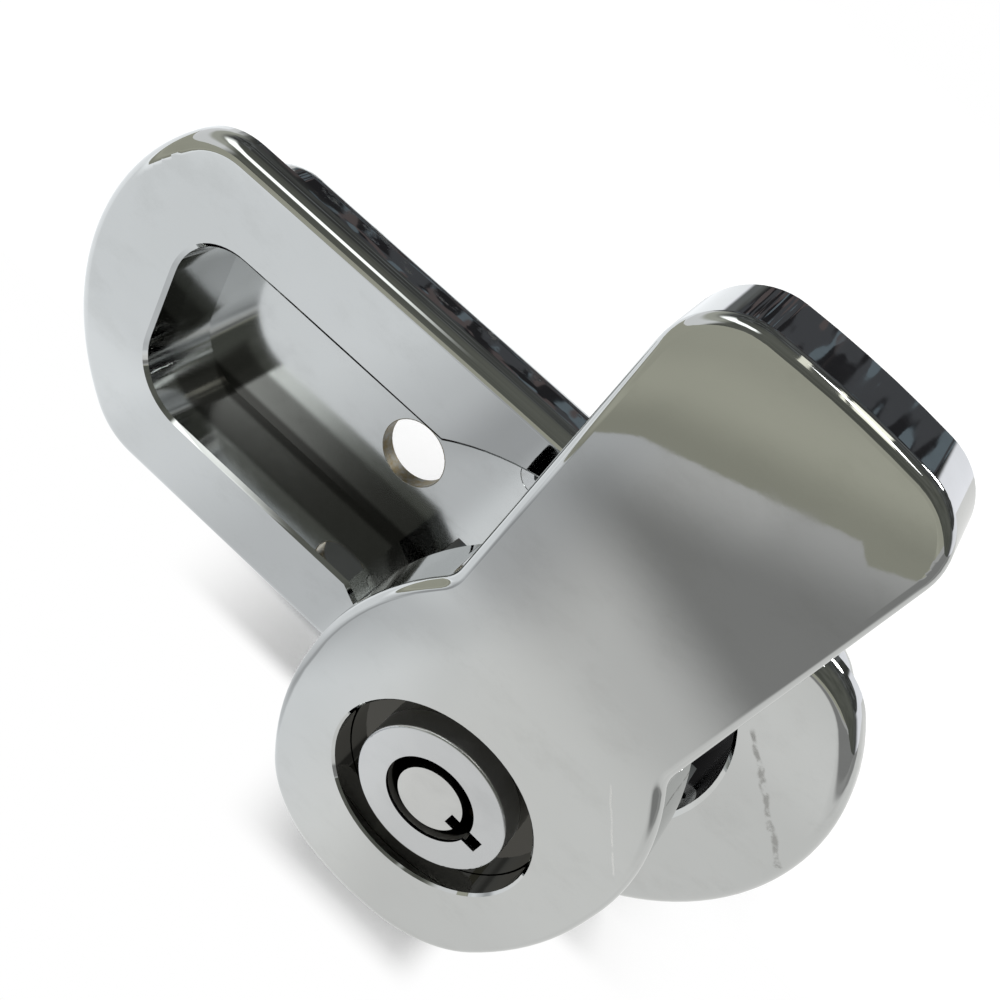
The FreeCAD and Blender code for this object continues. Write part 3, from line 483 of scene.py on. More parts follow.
@dataclass(frozen=True)
class Finish:
    """A metal surface: its tint, how rough it is, and the marks of its making."""

    name: str
    bright: Triple
    dull: Triple
    rough: tuple[float, float]
    marks: Marks
    wave: float
    wave_scale: float
    grain: float
    grain_scale: float
    stain: Triple = (0.1, 0.09, 0.07)
    stain_share: float = 0.1
    layers: tuple[Layer, ...] = ()

    def pits(self, point: Point) -> Socket:
        """Small dark pits, few and far between.

        Args:
            point: the point that is shaded.

        Returns:
            1 in a pit and 0 elsewhere.
        """
        inputs = {"Vector": point.place, "Scale": PIT_SCALE}
        cells = point.recipe.node("ShaderNodeTexVoronoi", {"feature": "F1"}, inputs)
        near = Socket(point.recipe, cells.outputs["Distance"]).between(*PIT_EDGE)
        lot = point.recipe.parts(Socket(point.recipe, cells.outputs["Color"]))[0]
        return near * lot.between(*PIT_LOT)

    def pattern(self, point: Point) -> Socket:
        """The height of the marks that the making leaves.

        Args:
            point: the point that is shaded.

        Returns:
            0 to 1.
        """
        if self.marks is Marks.TURNED:
            rings = (point.measures["radius"] * (self.grain_scale * math.tau)).sine() * 0.5 + 0.5
            cloud = point.noise(self.grain_scale * RING_CLOUD_FINENESS)
            return rings * RING_SHARE + cloud * (1.0 - RING_SHARE)
        place = point.recipe.stretched(point.place, MARK_STRETCH[self.marks])
        return point.recipe.noise(place, self.grain_scale, *MARK_DETAIL[self.marks])

    @cache
    def material(self) -> bpy.types.Material:
        """The Blender material, made at the first call.

        Returns:
            The material.
        """
        made = bpy.data.materials.new(self.name)
        recipe = Recipe(made)
        point = surface_point(recipe)
        smudges = SMUDGES.share(point)
        hairlines = HAIRLINES.share(point) + CROSS_HAIRLINES.share(point)
        colour = recipe.mix(TARNISH.share(point), self.bright, self.dull)
        stains = self.pits(point) * PIT_STRENGTH + smudges * self.stain_share
        colour = recipe.mix(stains, colour, self.stain)
        wear = smudges * SMUDGE_ROUGH + hairlines * HAIRLINE_ROUGH
        rough = self.rough[0] + (self.rough[1] - self.rough[0]) * wear
        for layer in self.layers:
            share = layer.share(point)
            colour = layer.over(point, share, colour)
            rough = rough + share * layer.rough
        normal = recipe.bump(point.noise(self.wave_scale, 1.0), self.wave)
        normal = recipe.bump(self.pattern(point), self.grain, normal)
        inputs = {"Base Color": colour, "Metallic": 1.0, "Roughness": rough, "Normal": normal}
        metal = recipe.add("ShaderNodeBsdfPrincipled", {}, inputs)
        recipe.node("ShaderNodeOutputMaterial", {}, {"Surface": metal})
        return made


# Painted shade: the near black that stands for the deep shade of the keyway.
KEYWAY_PAINTED_SHADE = (0.012, 0.011, 0.01)
CHROME_STAIN = (0.3, 0.3, 0.28)
BEHIND_PLATE = 0.0004
BOX_SIDES = (Edge("y", BEHIND_PLATE, 0.0008), Edge("side", 0.0195, 0.02))
RUBBED = Clouds(scale=620.0, detail=5.0, rough=0.7, outside=0.52, inside=0.66, stretch=(0.5, 1.0, 1.0))
CHROME_LAYERS = (
    # Painted shade: the pocket's end behind the hub, darkened.
    Layer(tint=(0.05, 0.05, 0.052), edges=(*ring(0.0, 0.0215, -0.001, 0.0015), Edge("x", 0.003, 0.006))),
    # A scratch on the plate, and one on the hub.
    Scuff(start=(0.01906, 0.01256), end=(0.0331, 0.00014), level=-0.003, width=0.0005,
          tint=(0.33, 0.33, 0.32)),
    Scuff(start=(0.00981, 0.01842), end=(0.01632, 0.00993), level=-0.0283, width=0.00012),
    # The bare, discoloured wall of the hole in the pocket's floor.
    Layer(tint=(0.24, 0.19, 0.1), second=CHROME_STAIN, rough=0.45,
          mottle=Clouds(scale=900.0, detail=4.0, rough=0.7, outside=0.3, inside=0.7),
          edges=(Edge("hole", 0.0045, 0.0044), Edge("y", 0.0078, 0.008))),
    # The pocket's inside, which is polished less.
    Layer(strength=0.0, rough=0.09, edges=(Edge("y", BEHIND_PLATE, 0.002), Edge("side", 0.02, 0.0195))),
    # Painted shade: the lower wall of the pocket, darkened for the dark room that it mirrors.
    Layer(tint=(0.2, 0.2, 0.195),
          edges=(Edge("z", -0.0102, -0.0112), Edge("z", -0.0152, -0.0146), Edge("y", 0.0083, 0.0081),
                 Edge("y", BEHIND_PLATE, 0.0015))),
    # The rubbed top and bottom of the box, most of all next to the plate.
    Rubbed(tint=(0.4, 0.4, 0.37), strength=0.5, rough=0.3, edges=BOX_SIDES, clouds=RUBBED,
           worse=Edge("y", 0.0022, BEHIND_PLATE), more=replace(RUBBED, outside=0.4, inside=0.6)),
)
NICKEL_LAYERS = (
    # The keyway's wall, lighter at its mouth, and painted shade, near black, below.
    Layer(tint=(0.66, 0.65, 0.61), rough=0.45, edges=ring(0.0, 0.0053, -0.029, 0.0001)),
    Layer(tint=KEYWAY_PAINTED_SHADE, edges=ring(0.0, 0.0053, -0.0272, 0.0003)),
    # The satin side of the nose.
    Layer(tint=(0.5, 0.5, 0.48), rough=0.35, edges=ring(0.0078, 0.00835, -0.029, 0.0001)),
    # Painted shade: the floor of the ring round the nose, darkened as a recess.
    Layer(tint=(0.06, 0.058, 0.052), edges=ring(0.0083, 0.03, -0.0257, 0.0002)),
)
CHROME = Finish(
    "bright_chrome", bright=(0.555, 0.565, 0.562), dull=(0.535, 0.545, 0.54),
    rough=(0.025, 0.09), marks=Marks.POLISHED,
    wave=2.5e-5, wave_scale=55.0, grain=6e-7, grain_scale=1100.0, stain=CHROME_STAIN, layers=CHROME_LAYERS)
NICKEL = Finish(
    "bright_nickel", bright=(0.5, 0.5, 0.48), dull=(0.46, 0.455, 0.43),
    rough=(0.04, 0.12), marks=Marks.TURNED,
    wave=1e-5, wave_scale=80.0, grain=5e-7, grain_scale=2600.0, layers=NICKEL_LAYERS)
STAINLESS = Finish(
    "fine_satin_stainless", bright=(0.56, 0.57, 0.58), dull=(0.52, 0.53, 0.54),
    rough=(0.16, 0.34), marks=Marks.TURNED,
    wave=6e-6, wave_scale=120.0, grain=1.2e-6, grain_scale=3400.0, stain=(0.35, 0.36, 0.36),
    layers=(Layer(tint=(0.55, 0.55, 0.54), rough=0.22, edges=ring(0.0081, 0.0084, -0.0281, 0.0001)),))
PLUG_STEEL = Finish(
    "satin_plug", bright=(0.57, 0.575, 0.57), dull=(0.53, 0.535, 0.53),
    rough=(0.12, 0.3), marks=Marks.TURNED,
    wave=6e-6, wave_scale=150.0, grain=1.2e-6, grain_scale=3000.0, stain=(0.3, 0.3, 0.29),
    # Painted shade: the keyway in the plug, near black behind its mouth.
    layers=(Layer(tint=KEYWAY_PAINTED_SHADE, edges=ring(0.0, 0.0075, -0.0277, 0.0004)),))
RAW_CAST = Finish(
    "plated_casting", bright=(0.5, 0.5, 0.49), dull=(0.36, 0.365, 0.36),
    rough=(0.3, 0.55), marks=Marks.CAST,
    wave=6e-5, wave_scale=90.0, grain=3.5e-5, grain_scale=1500.0, stain=(0.2, 0.19, 0.17), stain_share=0.35)
ZINC_STEEL = Finish(
    "zinc_plated_steel", bright=(0.62, 0.63, 0.64), dull=(0.5, 0.51, 0.5),
    rough=(0.22, 0.42), marks=Marks.ROLLED,
    wave=2e-5, wave_scale=120.0, grain=5e-6, grain_scale=1700.0, stain=(0.36, 0.33, 0.26), stain_share=0.3)
SPRING_WIRE = Finish(
    "spring_wire", bright=(0.42, 0.42, 0.43), dull=(0.3, 0.3, 0.31),
    rough=(0.2, 0.4), marks=Marks.CAST,
    wave=4e-6, wave_scale=300.0, grain=4e-6, grain_scale=2200.0)
BRASS = Finish(
    "machined_brass", bright=(0.75, 0.57, 0.27), dull=(0.6, 0.43, 0.19),
    rough=(0.18, 0.36), marks=Marks.TURNED,
    wave=4e-6, wave_scale=200.0, grain=2e-6, grain_scale=2600.0, stain=(0.25, 0.15, 0.07), stain_share=0.3,
    # Painted shade: the pins darkened where they sit inside the plug.
    layers=(Layer(tint=(0.16, 0.12, 0.06), edges=ring(0.0, 0.0075, -0.03, 0.0001)),))


# Sub-assemblies

BOLT_LEAN = math.radians(2.2)
WELD_DISTANCE = 2e-6
JOIN_DISTANCE = 1e-7
ONE_PLANE = math.radians(0.2)
SHARP_EDGE = math.radians(45)
EDGE_SEGMENTS = 3
NORMALS_WEIGHT = 60
END_FACE = 0.9


def deselect_all() -> None:
    """Leaves object mode with nothing selected."""
    if bpy.context.mode != "OBJECT":
        bpy.ops.object.mode_set(mode="OBJECT")
    bpy.ops.object.select_all(action="DESELECT")


def pick(obj: bpy.types.Object) -> None:
    """Makes one object the only selected and the active one."""
    deselect_all()
    obj.select_set(True)
    bpy.context.view_layer.objects.active = obj


def settle(obj: bpy.types.Object) -> None:
    """Moves an object's origin to the frame's, with its mesh left where it is."""
    pick(obj)
    bpy.ops.object.transform_apply(location=True, rotation=True, scale=True)


def apply_modifier(obj: bpy.types.Object, kind: str, **settings: Any) -> None:
    """Adds a modifier and applies it.

    Args:
        obj: the object.
        kind: the modifier's type.
        settings: its properties.
    """
    pick(obj)
    modifier = obj.modifiers.new(kind.lower(), kind)
    for name, value in settings.items():
        setattr(modifier, name, value)
    bpy.ops.object.modifier_apply(modifier=modifier.name)


def fill_open_ends() -> None:
    """Goes into edit mode and fills the open ends of the active mesh."""
    bpy.ops.object.mode_set(mode="EDIT")
    bpy.ops.mesh.select_all(action="DESELECT")
    bpy.ops.mesh.select_mode(type="EDGE")
    bpy.ops.mesh.select_non_manifold()
    bpy.ops.mesh.edge_face_add()


def face_outwards() -> None:
    """Turns all faces of the active mesh outwards and leaves edit mode."""
    bpy.ops.mesh.select_all(action="SELECT")
    bpy.ops.mesh.normals_make_consistent(inside=False)
    bpy.ops.object.mode_set(mode="OBJECT")


def joined(pieces: list[bpy.types.Object], name: str) -> bpy.types.Object:
    """Joins objects into one and welds their touching ends.

    Args:
        pieces: the objects.
        name: the name of the result.

    Returns:
        The joined object.
    """
    deselect_all()
    for piece in pieces:
        piece.select_set(True)
    bpy.context.view_layer.objects.active = pieces[0]
    if len(pieces) > 1:
        bpy.ops.object.join()
    result = bpy.context.object
    result.name = name
    bpy.ops.object.mode_set(mode="EDIT")
    bpy.ops.mesh.select_all(action="SELECT")
    bpy.ops.mesh.remove_doubles(threshold=JOIN_DISTANCE)
    bpy.ops.object.mode_set(mode="OBJECT")
    return result


@dataclass(frozen=True)
class Coil:
    """A compression spring with closed and ground ends, wound about the spindle's line."""

    radius: float
    wire: float
    front: float
    back: float
    open_turns: int
    steps: int
    sides: int
    closing: float = 1.06

    def turn(self, front: float, pitch: float) -> bpy.types.Object:
        """One turn of wire.

        Args:
            front: where it starts along Y.
            pitch: how far it climbs.

        Returns:
            The turn, an open tube.
        """
        deselect_all()
        bpy.ops.mesh.primitive_circle_add(vertices=self.sides, radius=self.wire / 2,
                                          location=(self.radius, front, 0))
        circle = bpy.context.object
        settle(circle)
        apply_modifier(circle, "SCREW", axis="Y", angle=math.tau, screw_offset=pitch, iterations=1,
                       steps=self.steps, render_steps=self.steps)
        return circle

    def form(self, name: str) -> bpy.types.Object:
        """The whole spring.

        Args:
            name: its name.

        Returns:
            A closed mesh at the origin.
        """
        closed = self.wire * self.closing
        pitch = (self.back - self.front - 2 * closed) / self.open_turns
        turns = []
        place = self.front
        for climb in [closed, *[pitch] * self.open_turns, closed]:
            turns.append(self.turn(place, climb))
            place += climb
        spring = joined(turns, name)
        fill_open_ends()
        for height, outer in ((self.front, False), (self.back, True)):
            bpy.ops.mesh.select_all(action="SELECT")
            bpy.ops.mesh.bisect(plane_co=(0, height, 0), plane_no=(0, 1, 0), use_fill=True,
                                clear_inner=not outer, clear_outer=outer)
        face_outwards()
        return spring


@dataclass
class Assembly:
    """Pieces that are built and dressed together."""

    title: str
    smooth_angle: float = 30.0
    edges: dict[str, float] = field(default_factory=dict)
    shown: list[str] = field(default_factory=list)

    def carried(self) -> dict[str, Finish]:
        """The CAD nodes of this sub-assembly and their finishes."""
        return {}

    def smooth(self, obj: bpy.types.Object) -> None:
        """Gives a CAD node clean shading without touching its own mesh.

        Args:
            obj: the node's object.
        """
        for polygon in obj.data.polygons:
            polygon.use_smooth = True
        weld = obj.modifiers.new("weld", "WELD")
        weld.merge_threshold = WELD_DISTANCE
        flat = obj.modifiers.new("one_face_per_plane", "DECIMATE")
        flat.decimate_type = "DISSOLVE"
        flat.angle_limit = ONE_PLANE
        if obj.name in self.edges:
            edge = obj.modifiers.new("broken_edges", "BEVEL")
            edge.width = self.edges[obj.name]
            edge.segments = EDGE_SEGMENTS
            edge.limit_method = "ANGLE"
            edge.angle_limit = SHARP_EDGE
        split = obj.modifiers.new("crisp_edges", "EDGE_SPLIT")
        split.split_angle = math.radians(self.smooth_angle)
        split.use_edge_sharp = False
        normals = obj.modifiers.new("even_normals", "WEIGHTED_NORMAL")
        normals.mode = "FACE_AREA"
        normals.weight = NORMALS_WEIGHT

    def dress(self) -> None:
        """Gives each carried node clean shading and its finish."""
        for name, finish in self.carried().items():
            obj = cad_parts[name]
            self.smooth(obj)
            obj.data.materials.clear()
            obj.data.materials.append(finish.material())
            self.shown.append(name)

    def add(self, piece: bpy.types.Object, body: str, slot: str, finish: Finish, *replaced: str) -> None:
        """Gives a new piece its place in the model and its finish.

        Args:
            piece: the new piece.
            body: the body that it rides on.
            slot: the record's material slot; not used.
            finish: its finish.
            replaced: the CAD nodes that it stands for.
        """
        settle(piece)
        bpy.ops.object.shade_smooth_by_angle(angle=math.radians(self.smooth_angle))
        piece.data.materials.clear()
        piece.data.materials.append(finish.material())
        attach(piece, body)
        if replaced:
            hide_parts(*replaced)
        self.shown.append(piece.name)

    def build(self) -> None:
        """Makes the pieces that the frame doesn't hold."""

    def make(self) -> None:
        """Builds, dresses and reports."""
        self.build()
        self.dress()
        LOG.info("%s: %s", self.title, ", ".join(self.shown))


@dataclass
class Escutcheon(Assembly):
    """The chromed plate with its pocket."""

    title: str = "escutcheon"

    def carried(self) -> dict[str, Finish]:
        """The escutcheon's casting."""
        return {"escutcheon": CHROME}


@dataclass
class LeverHandle(Assembly):
    """The chromed lever with the side bolt in its stem."""

    title: str = "lever handle"
    bolt_coil: Coil = Coil(radius=0.001025, wire=0.00035, front=0.00182, back=0.00825, open_turns=7,
                           steps=16, sides=8)
    bolt_middle: float = -0.0095
    bolt_travel: float = 0.0022

    def carried(self) -> dict[str, Finish]:
        """The lever's own nodes."""
        return {
            "handle": CHROME,
            "lock_dowel": ZINC_STEEL,
            "locking_bolt": ZINC_STEEL,
            "stem_snap_ring": SPRING_WIRE,
        }

    def build(self) -> None:
        """Winds the side bolt's spring."""
        spring = self.bolt_coil.form("bolt_spring_coil")
        leaning = Matrix.Rotation(BOLT_LEAN, 4, "Y") @ Matrix.Rotation(math.radians(90), 4, "X")
        spring.matrix_world = Matrix.Translation((0, self.bolt_middle, 0)) @ leaning
        self.add(spring, "lever", "spring_steel", SPRING_WIRE, "bolt_spring")
        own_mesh(spring)


@dataclass
class TubularCylinder(Assembly):
    """The tubular lock cylinder in the hub."""

    title: str = "tubular cylinder"
    edges: dict[str, float] = field(default_factory=lambda: {"lock_plug": 0.00015})
    pin_count: int = 7
    pin_place: float = 0.00427
    pin_coil: Coil = Coil(radius=0.00045, wire=0.0002, front=-0.01515, back=-0.01345, open_turns=4,
                          steps=12, sides=6)

    def build(self) -> None:
        """Winds the pins' springs round the plug."""
        coils = []
        for number in range(self.pin_count):
            angle = math.tau / self.pin_count * number + BOLT_LEAN
            coil = self.pin_coil.form("tumbler_coils")
            coil.location = (self.pin_place * math.sin(angle), 0, self.pin_place * math.cos(angle))
            settle(coil)
            coils.append(coil)
        self.add(joined(coils, "tumbler_coils"), "key_core", "spring_steel", SPRING_WIRE, "tumbler_springs")

    def carried(self) -> dict[str, Finish]:
        """The cylinder's nodes."""
        return {
            "lock_shell": NICKEL,
            "face_cap": STAINLESS,
            "lock_plug": PLUG_STEEL,
            "tumbler_pins": BRASS,
            "driver_pins": BRASS,
            "plug_clip": SPRING_WIRE,
            "cylinder_snap_ring": SPRING_WIRE,
        }


@dataclass
class RearBearing(Assembly):
    """The barrel behind the pocket and what holds it there."""

    title: str = "rear bearing"

    def carried(self) -> dict[str, Finish]:
        """The bearing's nodes."""
        return {"bearing_housing": RAW_CAST, "housing_screws": ZINC_STEEL, "stop_pin": ZINC_STEEL}


@dataclass
class RotorAndCam(Assembly):
    """The turning spindle with the cam on its end."""

    title: str = "rotor and cam"
    popout_coil: Coil = Coil(radius=0.0074, wire=0.0014, front=-0.005, back=0.0424, open_turns=8, steps=48,
                             sides=16)
    popout_travel: float = 0.015
    stud_radius: float = 0.004
    thread_pitch: float = 0.00125
    thread_height: float = 0.00032
    thread_end: float = 2.2
    thread_steps: int = 64
    nut_corner: float = 0.00752
    nut_face: float = 0.0061
    nut_slope: float = math.radians(30)
    nut_steps: int = 72

    def popout_spring(self) -> None:
        """The spring that throws the handle out."""
        spring = self.popout_coil.form("popout_coil")
        self.add(spring, "spindle", "spring_steel", SPRING_WIRE, "popout_spring")
        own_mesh(spring)

    def stud_thread(self) -> None:
        """The thread on the end of the stud, beyond the nut."""
        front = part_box("cam_nut")[1][1]
        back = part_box("rotor_end")[1][1] - self.thread_end * self.thread_height
        deselect_all()
        bpy.ops.mesh.primitive_circle_add(vertices=3, radius=self.thread_height,
                                          location=(self.stud_radius, front + self.thread_height, 0),
                                          rotation=(0, 0, -math.pi / 2))
        ridge = bpy.context.object
        settle(ridge)
        climb = back - front - 2 * self.thread_height
        apply_modifier(ridge, "SCREW", axis="Y", angle=math.tau * climb / self.thread_pitch,
                       screw_offset=climb, iterations=1, steps=self.thread_steps,
                       render_steps=self.thread_steps)
        fill_open_ends()
        face_outwards()
        ridge.name = "stud_thread"
        self.add(ridge, "spindle", "plated_steel", ZINC_STEEL)

    def chamfered_nut(self) -> None:
        """The nut with the corners of both ends turned off."""
        low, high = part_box("cam_nut")
        height = high[1] - low[1]
        slope = (self.nut_corner - self.nut_face) * math.tan(self.nut_slope)
        deselect_all()
        bpy.ops.mesh.primitive_cylinder_add(vertices=self.nut_steps, radius=self.nut_corner,
                                            depth=height - 2 * slope,
                                            location=(0, (low[1] + high[1]) / 2, 0),
                                            rotation=(math.pi / 2, 0, 0))
        drum = bpy.context.object
        settle(drum)
        shrink = self.nut_face / self.nut_corner
        for way in (-1, 1):
            bpy.ops.object.mode_set(mode="EDIT")
            bpy.ops.mesh.select_all(action="DESELECT")
            bpy.ops.object.mode_set(mode="OBJECT")
            for polygon in drum.data.polygons:
                polygon.select = polygon.normal.y * way > END_FACE
            bpy.ops.object.mode_set(mode="EDIT")
            bpy.ops.mesh.extrude_region_move(TRANSFORM_OT_translate={"value": (0, way * slope, 0)})
            bpy.ops.transform.resize(value=(shrink, 1, shrink), center_override=(0, 0, 0))
        bpy.ops.object.mode_set(mode="OBJECT")
        nut = bpy.data.objects.new("hex_nut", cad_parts["cam_nut"].data.copy())
        bpy.context.scene.collection.objects.link(nut)
        nut = joined([nut], "hex_nut")
        apply_modifier(nut, "BOOLEAN", operation="INTERSECT", object=drum, solver="EXACT")
        bpy.data.objects.remove(drum)
        self.add(nut, "spindle", "plated_steel", ZINC_STEEL, "cam_nut")

    def build(self) -> None:
        """Makes the pop-out spring, the thread and the nut."""
        self.popout_spring()
        self.stud_thread()
        self.chamfered_nut()

    def carried(self) -> dict[str, Finish]:
        """The spindle's nodes."""
        return {
            "rotor": RAW_CAST,
            "rotor_end": ZINC_STEEL,
            "cross_pin": ZINC_STEEL,
            "thrust_washer": BRASS,
            "cam": ZINC_STEEL,
            "cam_washer": ZINC_STEEL,
        }


# The floor, in millimetres

MM_PER_M = 1000.0


@dataclass(frozen=True)
class Tone:
    """Painted light that is added to the mirrored sheet, or painted shade where light is taken away, inside
    all its edges.
    """

    light: float
    edges: tuple[Edge, ...]


# Measures that grow evenly over the floor: their shares of x and y, and what is added.
FLOOR_LINES = {
    "across": (0.43, -1.0, -110.7),
    "slant": (1.0, -0.35, -17.5),
    "corner": (2.0, 1.0, 0.0),
    "end": (0.55, 1.0, 146.5),
    "notch": (1.0, -0.43, -70.09),
    "notch_depth": (-0.32, 0.0, 17.8),
}
END_STEP = Edge("x", -14.0, -24.0)
END_STEP_DEPTH = 7.5
END_SOFTNESS = 1.2
NOTCH = Edge("notch", 28.6, 29.4)
RIPPLE_SCALE = 55.0
RIPPLE_DEPTH = 2.0
BAND = Edge("across", 9.0, -16.0)
FAR_BAND = Edge("across", -10.0, -45.0)
LEFT_FRONT = (Edge("x", 4.0, -14.0), Edge("y", -70.0, -88.0))
SHEET_END = Edge("gap", 28.0, 0.0)
SHEET_LIGHT = 0.305
SHEET_TONES = (
    # Painted light: the wide light band across the sheet, and painted shade on its left front.
    Tone(0.44, (BAND,)),
    Tone(0.1, (FAR_BAND,)),
    Tone(-0.176, (*LEFT_FRONT, BAND)),
    Tone(-0.04, (*LEFT_FRONT, FAR_BAND)),
    # Painted light: the bright end of the sheet, a little weaker on the right.
    Tone(0.31, (SHEET_END,)),
    Tone(-0.08, (Edge("x", 10.0, 18.0), SHEET_END)),
    # Painted light: the lighter back and left.
    Tone(0.1, (Edge("y", -86.0, -70.0),)),
    Tone(0.1, (Edge("slant", -2.0, -12.0),)),
    # Painted shadows beside the plate and under the hub.
    Tone(-0.25, (Edge("corner", -84.0, -105.0), Edge("y", -78.0, -68.0), Edge("x", -40.0, -30.0))),
    Tone(-0.26, (Edge("x", -57.0, -37.0), Edge("x", -20.0, -26.0))),
    Tone(-0.06, (Edge("x", -8.0, 0.0), Edge("y", -48.0, -36.0))),
    # Painted light: the lighter left edge.
    Tone(0.15, (Edge("x", -60.0, -68.0), Edge("y", -22.0, -13.0))),
)
SHEET_WARM = (1.0, 1.0, 0.985)
SHEET_COOL = (0.975, 1.0, 1.025)
SHEET_COOLING = Edge("x", 0.0, -25.0)
TABLE_TINT = (1.0, 1.0, 0.83)
TABLE_LIGHT = 0.38
TABLE_TONES = (
    # Painted light: lighter away from the sheet, and a little darker again farther out.
    Tone(0.15, (Edge("gap", -5.0, -28.0),)),
    Tone(-0.05, (Edge("gap", -32.0, -50.0),)),
)
TABLE_CLOUD_SCALE = 9.0
TABLE_CLOUD_LIGHT = 0.06
SHADOW_PLACES = (
    # Under the hub, in front of the plate's lower edge, and behind the plate.
    (Edge("y", -31.0, -27.0), Edge("x", -17.0, -5.0), Edge("x", 13.0, 8.0)),
    (Edge("y", -12.1, -8.6), Edge("x", -44.0, -25.0), Edge("x", 40.0, 10.0)),
    (Edge("y", 8.0, 16.0),),
)
SHADOW_END = Edge("distance", 420.0, 150.0)


def floor_point(recipe: Recipe) -> Point:
    """A point on the floor, with its measures in millimetres.

    Args:
        recipe: the floor material's node tree.

    Returns:
        The point. "distance" is from the frame's origin, and "gap" is from the mirrored sheet's end.
    """
    place = recipe.place()
    x, y, _ = recipe.parts(recipe.stretched(place, (MM_PER_M,) * 3))
    lines = {name: x * of_x + y * of_y + added for name, (of_x, of_y, added) in FLOOR_LINES.items()}
    point = Point(recipe, place, {"x": x, "y": y, "distance": far(x, y), **lines})
    point.measures["gap"] = lines["end"] - END_STEP.share(point) * END_STEP_DEPTH
    return point


def lit(light: Number, tones: Sequence[Tone], point: Point) -> Socket:
    """An even light with the tones added to it."""
    return sum((agreed(tone.edges, point) * tone.light for tone in tones), light)


# The room, by direction

SWEEP_RISE = Edge("x", -0.15, 0.35)
SWEEP_HEIGHT = 0.33
SWEEP_FOOT = 0.04
FRONT = Edge("y", 0.1, -0.3)
ROOM_MOTTLE = Clouds(scale=3.0, detail=4.0, outside=0.3, inside=0.75)
ROOM_DARK = (0.05, 0.052, 0.05)
ROOM_PALE = (0.12, 0.125, 0.12)
SHELF = (1.0, 0.4, 0.7)
RACK = (Edge("y", 0.72, 0.78), Edge("z", 0.12, 0.18), Edge("x", 0.27, 0.24))
TUBE = (Edge("y", -0.62, -0.55), Edge("y", 0.3, 0.24), Edge("z", 0.5, 0.6))
TUBE_TINT = (1.7, 1.68, 1.45)
ROOM_LAYERS = (
    # Blocks of furniture all round.
    Layer(tint=(0.2, 0.21, 0.215), strength=0.6,
          clouds=Clouds(scale=7.0, detail=3.0, rough=0.6, outside=0.52, inside=0.6,
                        stretch=(1.0, 1.0, 0.5))),
    # The side in front of the lock.
    Layer(tint=(0.16, 0.165, 0.145), second=(0.1, 0.105, 0.09), mottle=ROOM_MOTTLE, edges=(FRONT,)),
    # Pale walls low on the left.
    Layer(tint=(0.52, 0.53, 0.47), edges=(Edge("x", -0.5, -0.75), Edge("z", 0.65, 0.4))),
    Layer(tint=(0.95, 0.96, 0.97), edges=(Edge("x", -0.5, -0.7), Edge("z", 0.35, 0.2))),
    # Painted highlight: a window, seen only in the chrome.
    Layer(tint=(2.2, 2.25, 2.2),
          edges=(Edge("z", 0.5, 0.57), Edge("z", 0.74, 0.68), Edge("x", -0.2, -0.34), FRONT)),
    # The dark rack behind, and what stands on its shelves.
    Layer(tint=(0.022, 0.022, 0.024), edges=RACK),
    Layer(tint=(0.075, 0.078, 0.085), edges=RACK,
          clouds=Clouds(scale=17.0, outside=0.5, inside=0.53, stretch=SHELF)),
    Layer(tint=(0.15, 0.185, 0.21), edges=RACK,
          clouds=Clouds(scale=31.0, detail=1.0, outside=0.58, inside=0.6, stretch=SHELF)),
    Layer(tint=(0.12, 0.1, 0.1), edges=(*RACK, Edge("x", 0.02, 0.0)),
          clouds=Clouds(scale=40.0, detail=1.0, outside=0.57, inside=0.6, stretch=SHELF)),
    # Painted highlights: three pieces of the lamp tube overhead, seen only in the chrome.
    Layer(tint=TUBE_TINT, edges=(*TUBE, Edge("x", 0.095, 0.105), Edge("x", 0.2, 0.19))),
    Layer(tint=TUBE_TINT, edges=(*TUBE, Edge("x", 0.07, 0.074), Edge("x", 0.088, 0.084))),
    Layer(tint=TUBE_TINT, strength=0.7, edges=(*TUBE, Edge("x", -0.03, -0.026), Edge("x", 0.005, 0.001))),
    # The white backdrop that rises behind the lock.
    Layer(tint=(1.15, 1.16, 1.22), edges=(Edge("sweep", 0.0, 0.05), Edge("y", 0.0, 0.3))),
)


# Floor, lamps and camera

WHITE = (1.0, 1.0, 1.0)


@dataclass(frozen=True)
class Lamp:
    """An area lamp that shines on the frame's origin."""

    name: str
    shape: str
    way: Triple
    size: tuple[float, float]
    power: float
    distance: float = 1.2

    def make(self) -> None:
        """Makes the lamp and turns it to the origin."""
        light = bpy.data.lights.new(self.name, "AREA")
        light.shape = self.shape
        light.size, light.size_y = self.size
        light.energy = self.power
        holder = bpy.data.objects.new(self.name, light)
        bpy.context.scene.collection.objects.link(holder)
        toward = Vector(self.way).normalized()
        holder.location = toward * self.distance
        holder.rotation_mode = "QUATERNION"
        holder.rotation_quaternion = (-toward).to_track_quat("-Z", "Y")


# A soft lamp behind and above the lock, and a weak tube on the ceiling.
LAMPS = (
    Lamp(name="lamp", shape="DISK", way=(0.37, 0.6, 0.71), size=(0.3, 0.3), power=4.2),
    Lamp(name="ceiling_tube", shape="RECTANGLE", way=(0.145, -0.25, 0.96), size=(0.1, 0.55), power=1.1),
)


